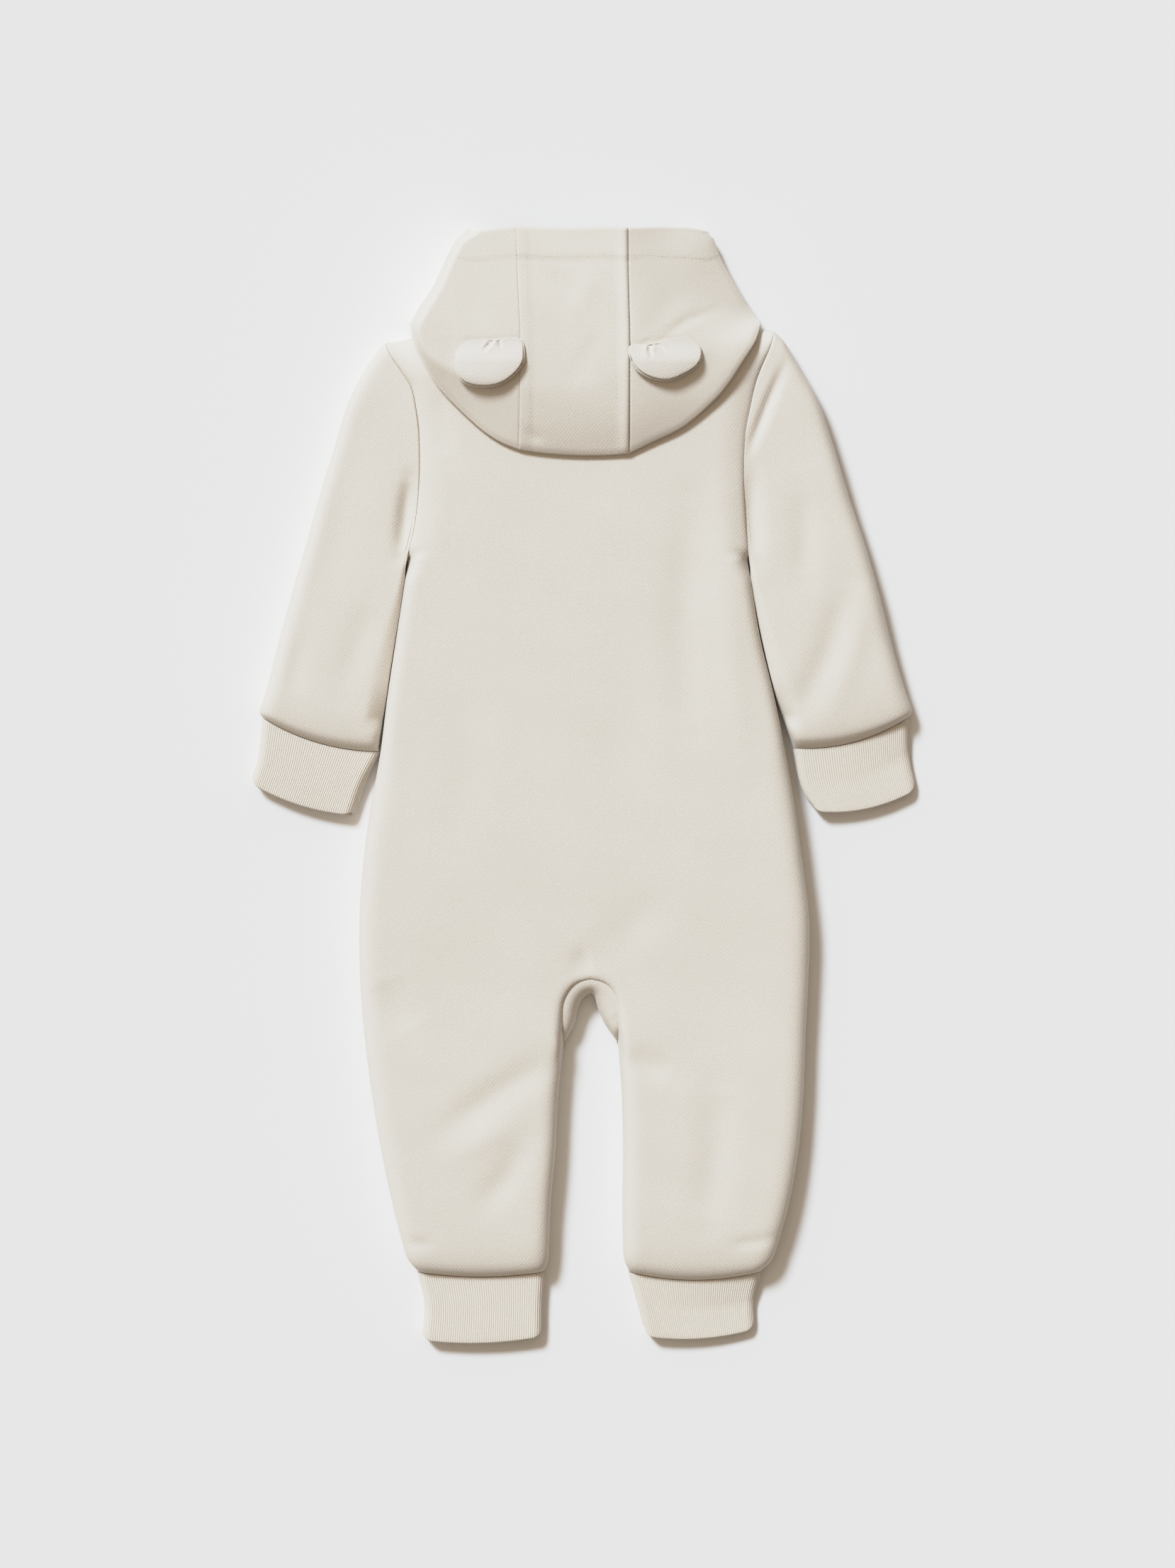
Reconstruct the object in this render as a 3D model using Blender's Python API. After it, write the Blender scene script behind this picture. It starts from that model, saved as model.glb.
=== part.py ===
"""A baby's hooded overall in soft cream fleece, laid face down on a flat surface.

The back is up, the hood is turned back over the shoulders, and two round ears hang from it.
The garment's head end points to +Y and its right-hand side in the view from above is +X.
Sizes here are millimetres; MM turns them into Blender's metres.
"""

import math

import bmesh
import bpy
from mathutils import Vector
from mathutils.bvhtree import BVHTree

MM = 0.001

# Cloth and seams
WALL = 2.0
CUFF_WALL = 1.8
SEAM_GAP = 0.3
REST_GAP = 0.5

# Loft of the laid garment: heights, and the widths over which its edges round off
SLEEVE_HEIGHT = 20.5
CUFF_HEIGHT = 10.0
FOLD_HEIGHT = 5.0
NECK_HEIGHT = 15.0
WAIST_SHARE = 0.47
INSEAM_ROLL = 18.0
LEG_ROLL = 12.0
LOW_ROLL = 9.0
SHOULDER_ROLL = 30.0
SLEEVE_ROLL = 20.0
# Points round a closed side, in degrees: 0 on top, 90 at the widest place, 180 underneath
ROLL_ANGLES = (125.0, 95.0, 65.0, 35.0, 0.0)
LOW_ANGLES = (125.0, 150.0, 180.0)

# Body: the middle line leaves the neck at X 0 and drifts to CROTCH_MIDDLE
CROTCH_MIDDLE = 4.5
NECK_TOP = 280.7
NECK_HALF = 54.0
NECK_LEVEL_HALF = 26.0
UNDERARM = 137.6
CROTCH = -118.7
INSEAM_TOP = -157.5
SHOULDER_TIPS = {-1: (-116.1, 268.0), 1: (115.2, 275.2)}
# How far below the underarm and the inseam's top an open edge turns into a closed side
CLOSING = 16.0
LEG_NARROWING = 20.0

# Rib knit
RIB_PITCH = 1.42
RIB_RISE = 0.45
PLAIN_POINTS = 28

# Front closure
PLACKET_TOP = 276.0
PLACKET_LOW = -108.0
STUD_RADIUS = 4.5
STUD_THICKNESS = 1.2
STUD_COUNT = 7
STUD_OFFSET = 8.2
STUD_MARGIN = 13.0
PLACKET_ROWS = 12

CREAM = (0.74, 0.68, 0.60, 1.0)
PALE_RIB = (0.76, 0.70, 0.64, 1.0)
STUD_METAL = (0.62, 0.60, 0.57, 1.0)


class Table:
    """Rows under named columns. A column is read as a smooth curve over the first one."""

    def __init__(self, columns, rows):
        self.columns = columns.split()
        self.rows = sorted(rows)

    def __call__(self, column, key):
        keys = [row[0] for row in self.rows]
        values = [row[self.columns.index(column)] for row in self.rows]
        key = min(max(key, keys[0]), keys[-1])
        i = max(j for j in range(len(keys) - 1) if keys[j] <= key)

        def slope(j):
            low, high = max(j - 1, 0), min(j + 1, len(keys) - 1)
            return (values[high] - values[low]) / (keys[high] - keys[low])

        span = keys[i + 1] - keys[i]
        t = (key - keys[i]) / span
        start = (1 + 2 * t) * (1 - t) ** 2 * values[i] + t * (1 - t) ** 2 * span * slope(i)
        end = t * t * (3 - 2 * t) * values[i + 1] - t * t * (1 - t) * span * slope(i + 1)
        return start + end


ARMHOLES = Table("y left right", (
    (137.6, -106.6, 100.2), (157.0, -101.9, 98.4), (183.0, -99.3, 97.2), (211.6, -99.3, 98.2),
    (227.5, -101.0, 101.0), (243.4, -104.0, 104.3), (252.8, -108.8, 107.3), (268.0, -116.1, 113.2),
    (275.2, -119.0, 115.2),
))
SIDES = Table("y left right", (
    (-296.0, -100.5, 108.0), (-290.0, -105.8, 114.0), (-284.0, -108.4, 116.8), (-256.0, -115.7, 124.7),
    (-221.5, -123.0, 130.7), (-187.0, -128.6, 133.7), (-152.7, -132.9, 135.0), (-118.3, -135.5, 136.7),
    (-84.0, -135.9, 137.2), (-49.5, -133.7, 133.3), (-15.0, -129.0, 128.6), (19.4, -123.0, 122.6),
    (53.8, -118.7, 115.7), (88.2, -113.5, 107.5), (122.6, -108.4, 101.9), (137.6, -106.6, 100.2),
))
INSEAMS = Table("y left right", (
    (-296.0, -23.6, 27.6), (-290.0, -21.4, 25.0), (-284.0, -20.9, 24.2), (-256.0, -19.8, 23.7),
    (-221.5, -16.8, 24.1), (-187.0, -15.0, 23.2), (-157.5, -11.8, 21.1),
))
# Where the crotch gusset meets the back and the fronts, from the inseam's top to the middle
CROTCH_ARCH = Table("y left right height", (
    (-157.5, -11.8, 21.1, 5.0), (-149.5, -12.7, 21.4, 13.0), (-140.0, -12.9, 21.5, 17.0),
    (-132.0, -12.0, 20.4, 18.5), (-125.5, -7.8, 16.8, 19.3), (-121.0, -2.6, 11.6, 20.0),
    (-118.7, 4.5, 4.5, 20.5),
))
CROTCH_FRONT = Table("y left right front_y height", (
    (-157.5, -11.8, 21.1, -157.5, 5.0), (-149.5, -8.0, 17.0, -152.0, 1.0),
    (-140.0, -5.0, 12.8, -146.0, 0.0), (-132.0, -3.4, 9.6, -139.0, 0.0),
    (-125.5, -1.6, 7.6, -133.4, 0.0), (-121.0, 1.4, 6.2, -129.6, 0.0),
    (-118.7, 4.5, 4.5, -128.0, 0.0),
))
# Loft down the body, and how wide the rounded sides are
LOFT = Table("y height roll", (
    (-296.5, 10.0, 9.0), (-293.0, 15.5, 12.0), (-288.0, 19.0, 16.0), (-279.0, 21.3, 20.0),
    (-244.0, 22.0, 23.0), (-198.0, 22.3, 24.0), (-140.0, 22.0, 24.0), (-118.7, 22.2, 24.0),
    (-57.0, 24.0, 24.0), (43.0, 24.5, 24.0), (200.0, 24.0, 24.0), (280.7, 24.0, 24.0),
))

BODY_ROWS = {
    "arm": (280.7, 276.0, 267.0, 254.0, 238.0, 220.0, 202.0, 184.0, 168.0, 156.0, 147.0, 137.6),
    "torso": (118.0, 93.0, 68.0, 43.0, 18.0, -7.0, -32.0, -57.0, -80.0, -101.0, -118.7),
    "arch": (-121.0, -125.5, -132.0, -140.0, -149.5, -157.5),
    "legs": (-175.0, -198.0, -221.0, -244.0, -264.0, -279.0, -288.0, -293.0, -296.5),
}
# How much of the shoulder's slope and of the hem's bow each row takes up
SHOULDER_FADE = {280.7: 1.0, 276.0: 0.9, 267.0: 0.75, 254.0: 0.5, 238.0: 0.3, 220.0: 0.1}
HEM_BOW = {-1: 3.0, 1: 5.0}
HEM_FADE = {-288.0: 0.35, -293.0: 0.7, -296.5: 1.0}

# Sleeves from the armhole to the cuff: outer fold, inner fold, bow of the ring towards the
# armhole, height, and how far the ring's shape has left the armhole's
SLEEVES = {
    -1: Table("ring outer_x outer_y inner_x inner_y bow height parted", (
        (1, -122.5, 265.5, -108.2, 133.0, 12.0, 20.5, 0.1),
        (2, -133.5, 249.5, -109.4, 125.0, 10.5, 20.5, 0.4),
        (3, -143.3, 230.0, -110.7, 115.0, 8.5, 20.5, 0.7),
        (4, -151.3, 204.0, -112.3, 103.0, 6.0, 20.5, 1.0),
        (5, -160.0, 175.5, -114.2, 90.0, 4.0, 20.5, 1.0),
        (6, -168.5, 145.0, -116.2, 77.0, 2.0, 20.5, 1.0),
        (7, -177.0, 115.5, -118.2, 63.5, 0.0, 20.5, 1.0),
        (8, -185.0, 86.5, -120.0, 50.0, -1.5, 20.0, 1.0),
        (9, -191.7, 60.0, -122.0, 37.0, -3.0, 19.5, 1.0),
        (10, -196.2, 46.5, -123.4, 26.5, -4.5, 17.0, 1.0),
        (11, -196.8, 42.7, -124.0, 22.0, -5.0, 14.0, 1.0),
        (12, -194.8, 40.0, -123.6, 19.4, -5.3, 10.0, 1.0),
    )),
    1: Table("ring outer_x outer_y inner_x inner_y bow height parted", (
        (1, 121.5, 269.5, 101.4, 133.0, 12.0, 20.5, 0.1),
        (2, 132.5, 251.0, 102.6, 125.0, 10.5, 20.5, 0.4),
        (3, 143.0, 232.0, 103.9, 115.0, 8.5, 20.5, 0.7),
        (4, 152.6, 204.0, 106.0, 103.0, 6.0, 20.5, 1.0),
        (5, 161.2, 175.5, 108.4, 90.0, 4.0, 20.5, 1.0),
        (6, 171.3, 145.0, 111.2, 77.0, 2.0, 20.5, 1.0),
        (7, 179.8, 115.5, 114.3, 63.5, 0.0, 20.5, 1.0),
        (8, 187.0, 86.5, 118.0, 50.0, -1.5, 20.0, 1.0),
        (9, 194.6, 60.0, 122.0, 38.0, -3.0, 19.5, 1.0),
        (10, 199.4, 46.5, 125.4, 28.5, -4.8, 17.0, 1.0),
        (11, 199.8, 42.7, 126.8, 24.5, -5.6, 14.0, 1.0),
        (12, 197.4, 40.0, 127.6, 21.5, -6.0, 10.0, 1.0),
    )),
}
# Cuffs from the seam to the open edge: the two side folds, bow of the ring away from the garment
CUFFS = {
    "sleeve_cuff_left": Table("ring left_x left_y right_x right_y bow", (
        (0, -194.8, 39.7, -123.7, 19.1, -5.3), (1, -197.4, 16.0, -134.0, 0.0, -4.4),
        (2, -202.1, 1.0, -140.5, -18.6, -3.8),
    )),
    "sleeve_cuff_right": Table("ring left_x left_y right_x right_y bow", (
        (0, 127.7, 21.2, 197.4, 39.7, -6.0), (1, 132.0, 0.0, 197.9, 18.0, -5.8),
        (2, 140.0, -16.4, 202.2, -3.2, -5.0),
    )),
    "leg_cuff_left": Table("ring left_x left_y right_x right_y bow", (
        (0, -100.5, -296.8, -23.6, -296.8, -3.0), (1, -96.4, -316.0, -24.8, -314.0, -2.6),
        (2, -97.6, -337.4, -25.2, -335.2, -2.8),
    )),
    "leg_cuff_right": Table("ring left_x left_y right_x right_y bow", (
        (0, 27.6, -296.8, 108.0, -296.8, -5.0), (1, 33.2, -316.0, 103.6, -315.0, -3.5),
        (2, 37.6, -335.0, 104.0, -331.0, -3.6),
    )),
}

# The hood: outline of the folds at its two sides, seams of the middle panel, and its top surface
HOOD = Table("y left right seam_left seam_right top", (
    (209.0, -52.2, 44.5, -39.1, 27.9, 33.0), (217.0, -64.5, 60.8, -38.9, 28.0, 35.5),
    (230.0, -78.0, 77.0, -38.7, 28.2, 37.5), (243.0, -89.8, 88.0, -38.5, 28.3, 37.8),
    (256.0, -98.0, 97.3, -38.3, 28.4, 37.8), (269.0, -104.0, 105.2, -38.2, 28.4, 37.2),
    (281.0, -105.6, 108.0, -38.3, 28.3, 36.0), (292.0, -99.0, 101.0, -38.8, 28.0, 34.5),
    (304.0, -91.0, 93.2, -39.5, 27.7, 32.0), (317.0, -84.8, 86.2, -40.2, 27.4, 28.0),
    (328.0, -79.3, 80.8, -40.7, 27.2, 24.0), (336.0, -71.0, 75.0, -40.9, 27.1, 20.0),
))
HOOD_BOTTOM = Table("x y", ((-39.2, 203.0), (-26.0, 201.0), (-5.0, 199.6), (15.0, 199.8), (27.9, 200.6)))
HOOD_EDGE = Table("x y", (
    (-71.0, 335.4), (-58.0, 337.6), (-40.9, 339.8), (-10.0, 338.8), (15.0, 339.0), (27.1, 338.6),
    (58.0, 338.8), (75.0, 335.8),
))
HOOD_ROWS = (336.0, 328.0, 317.0, 304.0, 292.0, 281.0, 276.0, 267.0, 254.0, 238.0, 222.0, 209.0)
HOOD_NECK_ROW = 281.0
HOOD_ON_FLOOR = 290.0
HOOD_LAYER = 11.0
HOOD_TUCK = 4.0
HOOD_SIDE_ROLL = 7.0
NECK_SPLIT = 4.5
HOOD_ROLL = 34.0
HOOD_FOLD_ANGLES = (30.0, 60.0, 90.0, 120.0, 150.0)
HOOD_TOP_SPOTS = (0.25, 0.5, 0.7, 0.85, 0.95)
HOOD_LOW_SPOTS = (0.7, 0.45, 0.22)
FACE_CORNER = 16.0
FACE_GAP = 1.0

# Ears: outline from the outer end of the seam round the free edge to the inner end
EARS = {
    "left": (
        (-77.0, 263.5), (-78.3, 257.0), (-77.6, 249.5), (-72.5, 243.6), (-63.0, 241.2), (-52.0, 242.2),
        (-43.5, 247.0), (-37.5, 253.5), (-35.4, 260.5), (-38.2, 270.6), (-55.0, 270.0), (-68.5, 269.2),
    ),
    "right": (
        (28.3, 266.4), (28.1, 259.8), (32.0, 251.8), (41.0, 246.4), (51.5, 244.9), (61.5, 248.6),
        (69.5, 254.0), (72.4, 260.5), (70.2, 266.8), (60.3, 271.0), (49.0, 269.6), (38.5, 266.8),
    ),
}
EAR_TOP = 270.2
EAR_LENGTH = 28.0
EAR_LIFT = 3.0
EAR_WALL = 2.0
EAR_POINTS = 24
EAR_RINGS = (1.0, 0.85, 0.5)
# An ear's layers: size against the outline, height where it starts, and its dome
EAR_LAYERS = {"back": (1.0, 0.0, 0.0), "front": (0.95, 2.3, 1.5)}

# The largest soft troughs in the upper layer: from, to, width and depth
TROUGHS = (
    (68.0, 150.0, 63.0, 60.0, 13.0, 2.0), (63.0, 60.0, 66.0, -10.0, 14.0, 1.8),
    (-21.0, -165.0, -52.0, -190.0, 10.0, 2.2), (-52.0, -190.0, -86.0, -212.0, 11.0, 2.0),
    (-37.0, -218.0, -62.0, -252.0, 10.0, 1.8), (30.0, -163.0, 52.0, -178.0, 9.0, 2.0),
    (79.0, -185.0, 76.0, -262.0, 12.0, 2.0), (-1.0, -104.0, 2.0, -112.0, 11.0, 1.6),
    (160.0, 122.0, 150.0, 82.0, 10.0, 2.0), (150.0, 82.0, 136.0, 44.0, 9.0, 1.8),
    (-112.0, -128.0, -100.0, -150.0, 13.0, 1.8), (-103.0, 160.0, -112.0, 140.0, 8.0, 2.5),
    (122.0, 250.0, 108.0, 214.0, 7.0, 2.5),
)


def mix(a, b, t):
    return a + (b - a) * t


def step(t):
    """0 to 1, smoothly, as t goes from 0 to 1."""
    t = min(max(t, 0.0), 1.0)
    return t * t * (3 - 2 * t)


def roll(t):
    """Height of a quarter round over its width: 0 at the edge, 1 from its full width on."""
    return math.sqrt(1 - (1 - min(max(t, 0.0), 1.0)) ** 2)


def middle(y):
    """X of the garment's middle line."""
    return CROTCH_MIDDLE * step((NECK_TOP - y) / (NECK_TOP - CROTCH))


def trough_depth(x, y):
    depth = 0.0
    for x0, y0, x1, y1, width, deep in TROUGHS:
        along_x, along_y = x1 - x0, y1 - y0
        t = ((x - x0) * along_x + (y - y0) * along_y) / (along_x**2 + along_y**2)
        t = min(max(t, 0.0), 1.0)
        away = math.hypot(x - x0 - t * along_x, y - y0 - t * along_y)
        depth = max(depth, deep * math.exp(-((away / width) ** 2)))
    return depth


class Cloth:
    """One continuous surface whose faces name the panel that they belong to."""

    def __init__(self):
        self.points = []
        self.faces = []

    def point(self, x, y, z):
        self.points.append(Vector((x, y, z)))
        return len(self.points) - 1

    def face(self, panel, corners, turned=False):
        corners = [c for k, c in enumerate(corners) if c not in corners[:k]]
        if len(corners) > 2:
            self.faces.append((panel, corners[::-1] if turned else corners))

    def grid(self, panel, rows, turned=False):
        """Quads between rows of points. Unturned, they face up where rows run to +X and follow to +Y."""
        for low, high in zip(rows, rows[1:]):
            for i in range(len(low) - 1):
                self.face(panel, [low[i], low[i + 1], high[i + 1], high[i]], turned)

    def zip_rows(self, panel, low, high, turned=False):
        """Triangles between two rows with different numbers of points."""
        i = j = 0
        while i < len(low) - 1 or j < len(high) - 1:
            low_next = (i + 1) / (len(low) - 1) if i < len(low) - 1 else 2.0
            high_next = (j + 1) / (len(high) - 1) if j < len(high) - 1 else 2.0
            if low_next <= high_next:
                self.face(panel, [low[i], low[i + 1], high[j]], turned)
                i += 1
            else:
                self.face(panel, [low[i], high[j + 1], high[j]], turned)
                j += 1

    def normals(self):
        normals = [Vector() for _ in self.points]
        for _, corners in self.faces:
            normal = self.face_normal(corners)
            for corner in corners:
                normals[corner] += normal
        return [normal.normalized() for normal in normals]

    def face_normal(self, corners):
        """The face's normal, as long as its area."""
        first, *others = [self.points[c] for c in corners]
        normal = Vector()
        for a, b in zip(others, others[1:]):
            normal += (a - first).cross(b - first) / 2
        return normal

    def tree(self):
        return BVHTree.FromPolygons(self.points, [corners for _, corners in self.faces])

    def cut_out(self, panel, colour, wall=WALL):
        """One panel as a closed wall, drawn back by half the seam gap all round."""
        faces = [corners for name, corners in self.faces if name == panel]
        sides = {(c[k - 1], c[k]) for c in faces for k in range(len(c))}
        edges = [side for side in sides if side[::-1] not in sides]
        inward = {}
        for corners in faces:
            normal = self.face_normal(corners).normalized()
            for k in range(len(corners)):
                side = (corners[k - 1], corners[k])
                if side in edges:
                    along = (self.points[side[1]] - self.points[side[0]]).normalized()
                    for corner in side:
                        inward[corner] = inward.get(corner, Vector()) + normal.cross(along)
        normals = self.normals()
        used = sorted({corner for corners in faces for corner in corners})
        number = {corner: k for k, corner in enumerate(used)}
        outer = []
        for corner in used:
            place = self.points[corner].copy()
            if corner in inward:
                place += inward[corner].normalized() * SEAM_GAP / 2
                place.z = max(place.z, 0.0)
            outer.append(place)
        inner = [place - normals[corner] * wall for place, corner in zip(outer, used)]
        count = len(used)
        solid = [[number[c] for c in corners] for corners in faces]
        solid += [[number[c] + count for c in reversed(corners)] for corners in faces]
        # The seam faces of two neighbours are split along the same diagonal, so that they stay apart.
        for start, end in sorted(edges):
            a, b = number[start], number[end]
            if start < end:
                solid += [[b, a, b + count], [a, a + count, b + count]]
            else:
                solid += [[b, a, a + count], [b, a + count, b + count]]
        return make_object(panel, outer + inner, solid, colour)


def material(name, colour, roughness, metallic=0.0):
    found = bpy.data.materials.get(name)
    if found:
        return found
    made = bpy.data.materials.new(name)
    made.use_nodes = True
    shader = made.node_tree.nodes["Principled BSDF"]
    shader.inputs["Base Color"].default_value = colour
    shader.inputs["Roughness"].default_value = roughness
    shader.inputs["Metallic"].default_value = metallic
    return made


def make_object(name, points, faces, finish):
    mesh = bpy.data.meshes.new(name)
    mesh.from_pydata([point * MM for point in points], [], faces)
    mesh.materials.append(finish)
    mesh.shade_smooth()
    mesh.set_sharp_from_angle(angle=math.radians(50))
    made = bpy.data.objects.new(name, mesh)
    bpy.context.scene.collection.objects.link(made)
    return made


# The body and sleeves ---------------------------------------------------------------------


def shoulder_line(x, side):
    """Y of the shoulder seam, which falls from the neck point to the tip."""
    tip_x, tip_y = SHOULDER_TIPS[side]
    run = (abs(x) - NECK_HALF) / (abs(tip_x) - NECK_HALF)
    return mix(NECK_TOP, tip_y, min(max(run, 0.0), 1.0))


def upper_height(x, y, side):
    """Height of the back where no side or inseam rounds it away."""
    out = abs(x)
    fall = step((out - NECK_LEVEL_HALF) / (NECK_HALF - NECK_LEVEL_HALF))
    start = mix(NECK_HEIGHT, FOLD_HEIGHT, fall)
    rise = roll((shoulder_line(x, side) - y) / SHOULDER_ROLL)
    return mix(start, LOFT("height", y), rise) - trough_depth(x, y)


def armhole_height(y, side):
    """Height of the upper layer along the armhole seam."""
    tip = shoulder_line(ARMHOLES("left" if side < 0 else "right", y), side)
    return mix(FOLD_HEIGHT, SLEEVE_HEIGHT, roll(min(tip - y, y - UNDERARM) / SLEEVE_ROLL))


def low_height(away):
    """Height of the lower layer near a fold, by its distance from the fold."""
    return FOLD_HEIGHT * (1 - roll(away / LOW_ROLL))


def rounded_edge(edge, inward, height, width, angles):
    """Points (x, z) round a closed side, from the seam under its widest place to the level top."""
    waist = WAIST_SHARE * height
    low = min(LOW_ROLL, waist)
    found = []
    for angle in angles:
        sine, cosine = math.sin(math.radians(angle)), math.cos(math.radians(angle))
        if angle > 90:
            found.append((edge + inward * low * (1 - sine), waist * (1 + cosine)))
        else:
            found.append((edge + inward * width * (1 - sine), mix(waist, height, cosine)))
    return found


def open_edge(edge, inward, height, width, edge_height, count):
    """Points (x, z) from an open edge, such as an armhole's, to the level top."""
    found = []
    for k in range(count):
        t = k / (count - 1)
        found.append((edge + inward * width * t, mix(edge_height, height, 1 - (1 - t) ** 2)))
    return found


def blend(first, second, t):
    return [(mix(a[0], b[0], t), mix(a[1], b[1], t)) for a, b in zip(first, second)]


def fill(start, end, count):
    """Points (x, z) spaced evenly between two, without them."""
    spots = [k / (count + 1) for k in range(1, count + 1)]
    return [(mix(start[0], end[0], t), mix(start[1], end[1], t)) for t in spots]


def back_section(y, side):
    """Points (x, y, z) over the back from its side to the middle or the inseam."""
    name = "left" if side < 0 else "right"
    height, width = LOFT("height", y), LOFT("roll", y)
    closed = step((UNDERARM - y) / CLOSING)
    arm = ARMHOLES(name, y)
    outer = blend(
        open_edge(arm, -side, height, width, armhole_height(y, side), len(ROLL_ANGLES)),
        rounded_edge(SIDES(name, y), -side, height, width, ROLL_ANGLES),
        closed,
    )
    if y >= CROTCH:
        level = fill(outer[-1], (middle(y), height), 6) + [(middle(y), height)]
        section = outer + level
    else:
        shut = step((INSEAM_TOP - y) / CLOSING)
        narrow = min(width, mix(INSEAM_ROLL, LEG_ROLL, step((y - INSEAM_TOP) / LEG_NARROWING)))
        arch = CROTCH_ARCH(name, max(y, INSEAM_TOP)) if y >= INSEAM_TOP else INSEAMS(name, y)
        arch_height = CROTCH_ARCH("height", max(y, INSEAM_TOP))
        inner = blend(
            open_edge(arch, side, height, narrow, arch_height, len(ROLL_ANGLES)),
            rounded_edge(arch, side, height, narrow, ROLL_ANGLES),
            shut,
        )
        section = outer + fill(outer[-1], inner[-1], 2) + inner[::-1]
    found = []
    for x, z in section:
        if y > UNDERARM:
            z = min(z, upper_height(x, y, side)) if z > height - 0.01 else z
        elif z > 0.55 * height:
            z -= trough_depth(x, y) * step((z / height - 0.55) / 0.35)
        found.append([x, y, z])
    return found


def front_section(y, side):
    """Points (x, y, z) under the front from its side to the middle or the inseam."""
    name = "left" if side < 0 else "right"
    height, width = LOFT("height", y), LOFT("roll", y)
    closed = step((UNDERARM - y) / CLOSING)
    outer = blend(
        [(ARMHOLES(name, y) - side * d, 0.0) for d in (0.0, 4.0, 12.0)],
        rounded_edge(SIDES(name, y), -side, height, width, LOW_ANGLES),
        closed,
    )
    drop = 0.0
    if y >= CROTCH:
        end = (middle(y), 0.0)
        section = outer + fill(outer[-1], end, 4) + [end]
    elif y >= INSEAM_TOP:
        edge = (CROTCH_FRONT(name, y), CROTCH_FRONT("height", y))
        inner = [(edge[0] + side * d, edge[1] * (1 - d / 9.0)) for d in (0.0, 3.0, 9.0)]
        section = outer + fill(outer[-1], inner[-1], 2) + inner[::-1]
    else:
        inner = rounded_edge(INSEAMS(name, y), side, height, min(width, INSEAM_ROLL), LOW_ANGLES)
        section = outer + fill(outer[-1], inner[-1], 2) + inner[::-1]
    if CROTCH >= y >= INSEAM_TOP:
        drop = CROTCH_FRONT("front_y", y) - y
    last = len(section) - 1
    return [[x, y + drop * (k / last) ** 2, z] for k, (x, z) in enumerate(section)]


def settle_row(section, y, side):
    """Lets the rows near the shoulders and the hems follow those lines."""
    name = "left" if side < 0 else "right"
    shoulder = SHOULDER_FADE.get(y, 0.0)
    hem = HEM_FADE.get(y, 0.0)
    low, high = INSEAMS(name, y), SIDES(name, y)
    for point in section:
        t = min(max((point[0] - low) / (high - low), 0.0), 1.0)
        point[1] += (shoulder_line(point[0], side) - NECK_TOP) * shoulder
        point[1] -= HEM_BOW[side] * hem * 4 * t * (1 - t)
    return section


def body_rows(cloth):
    """Point numbers of the back and of the fronts, by side and row, with their shared seams."""
    rows = [y for names in BODY_ROWS.values() for y in names]
    back, front = {}, {}
    for side in (-1, 1):
        for y in rows:
            upper = settle_row(back_section(y, side), y, side)
            lower = settle_row(front_section(y, side), y, side)
            if y == NECK_TOP:
                for point in upper:
                    point[2] = upper_height(point[0], point[1], side)
            elif y > UNDERARM:
                for k, point in enumerate(upper):
                    top = upper_height(point[0], point[1], side)
                    edge = armhole_height(upper[0][1], side)
                    share = (1 - k / 4.0) ** 2 if k < 4 else 0.0
                    point[2] = min(mix(top, edge, share), max(top, edge))
            if y >= UNDERARM:
                tip = shoulder_line(lower[0][0], side) - lower[0][1]
                lower[0][2] = low_height(min(tip, y - UNDERARM))
            back[side, y] = [cloth.point(*point) for point in upper]
            front[side, y] = [cloth.point(*point) for point in lower]
    for y in rows:
        if y >= CROTCH:
            back[1, y][-1] = back[-1, y][-1]
            front[1, y][-1] = front[-1, y][-1]
    for side in (-1, 1):
        for y in rows:
            if y <= UNDERARM:
                front[side, y][0] = back[side, y][0]
            if y <= INSEAM_TOP:
                front[side, y][-1] = back[side, y][-1]
        top = back[side, NECK_TOP]
        seam = [k for k in top if abs(cloth.points[k].x) > NECK_HALF - 4.0]
        neck = [cloth.point(cloth.points[k].x, cloth.points[k].y, 0.0) for k in top[len(seam):]]
        front[side, NECK_TOP] = seam + neck
    front[1, NECK_TOP][-1] = front[-1, NECK_TOP][-1]
    return rows, back, front


def sleeve_ring(ring, side, spots, armhole):
    """Points (x, y, z) round a sleeve: over the top from its outer fold, then back underneath."""
    table = SLEEVES[side]
    value = {name: table(name, ring) for name in table.columns[1:]}
    outer = Vector((value["outer_x"], value["outer_y"]))
    inner = Vector((value["inner_x"], value["inner_y"]))
    length = (inner - outer).length
    along = (inner - outer) / length
    to_body = Vector((-along.y, along.x)) * (1 if side < 0 else -1)
    top_roll = min(SLEEVE_ROLL, value["height"])
    fold = min(FOLD_HEIGHT, WAIST_SHARE * value["height"])
    plan, top, low = [], [], []
    for spot, bulge in zip(spots, armhole):
        bow = value["bow"] * mix(bulge, 4 * spot * (1 - spot), value["parted"])
        place = outer + along * length * spot + to_body * bow
        away = min(spot, 1 - spot) * length
        plan.append(place)
        rise = mix(fold, value["height"], roll(away / top_roll))
        top.append(rise - trough_depth(place.x, place.y) * step((rise / value["height"] - 0.6) / 0.3))
        low.append(fold * (1 - roll(away / LOW_ROLL)))
    over = [(p.x, p.y, z) for p, z in zip(plan, top)]
    under = [(p.x, p.y, z) for p, z in zip(plan, low)]
    return over + under[-2:0:-1]


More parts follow.
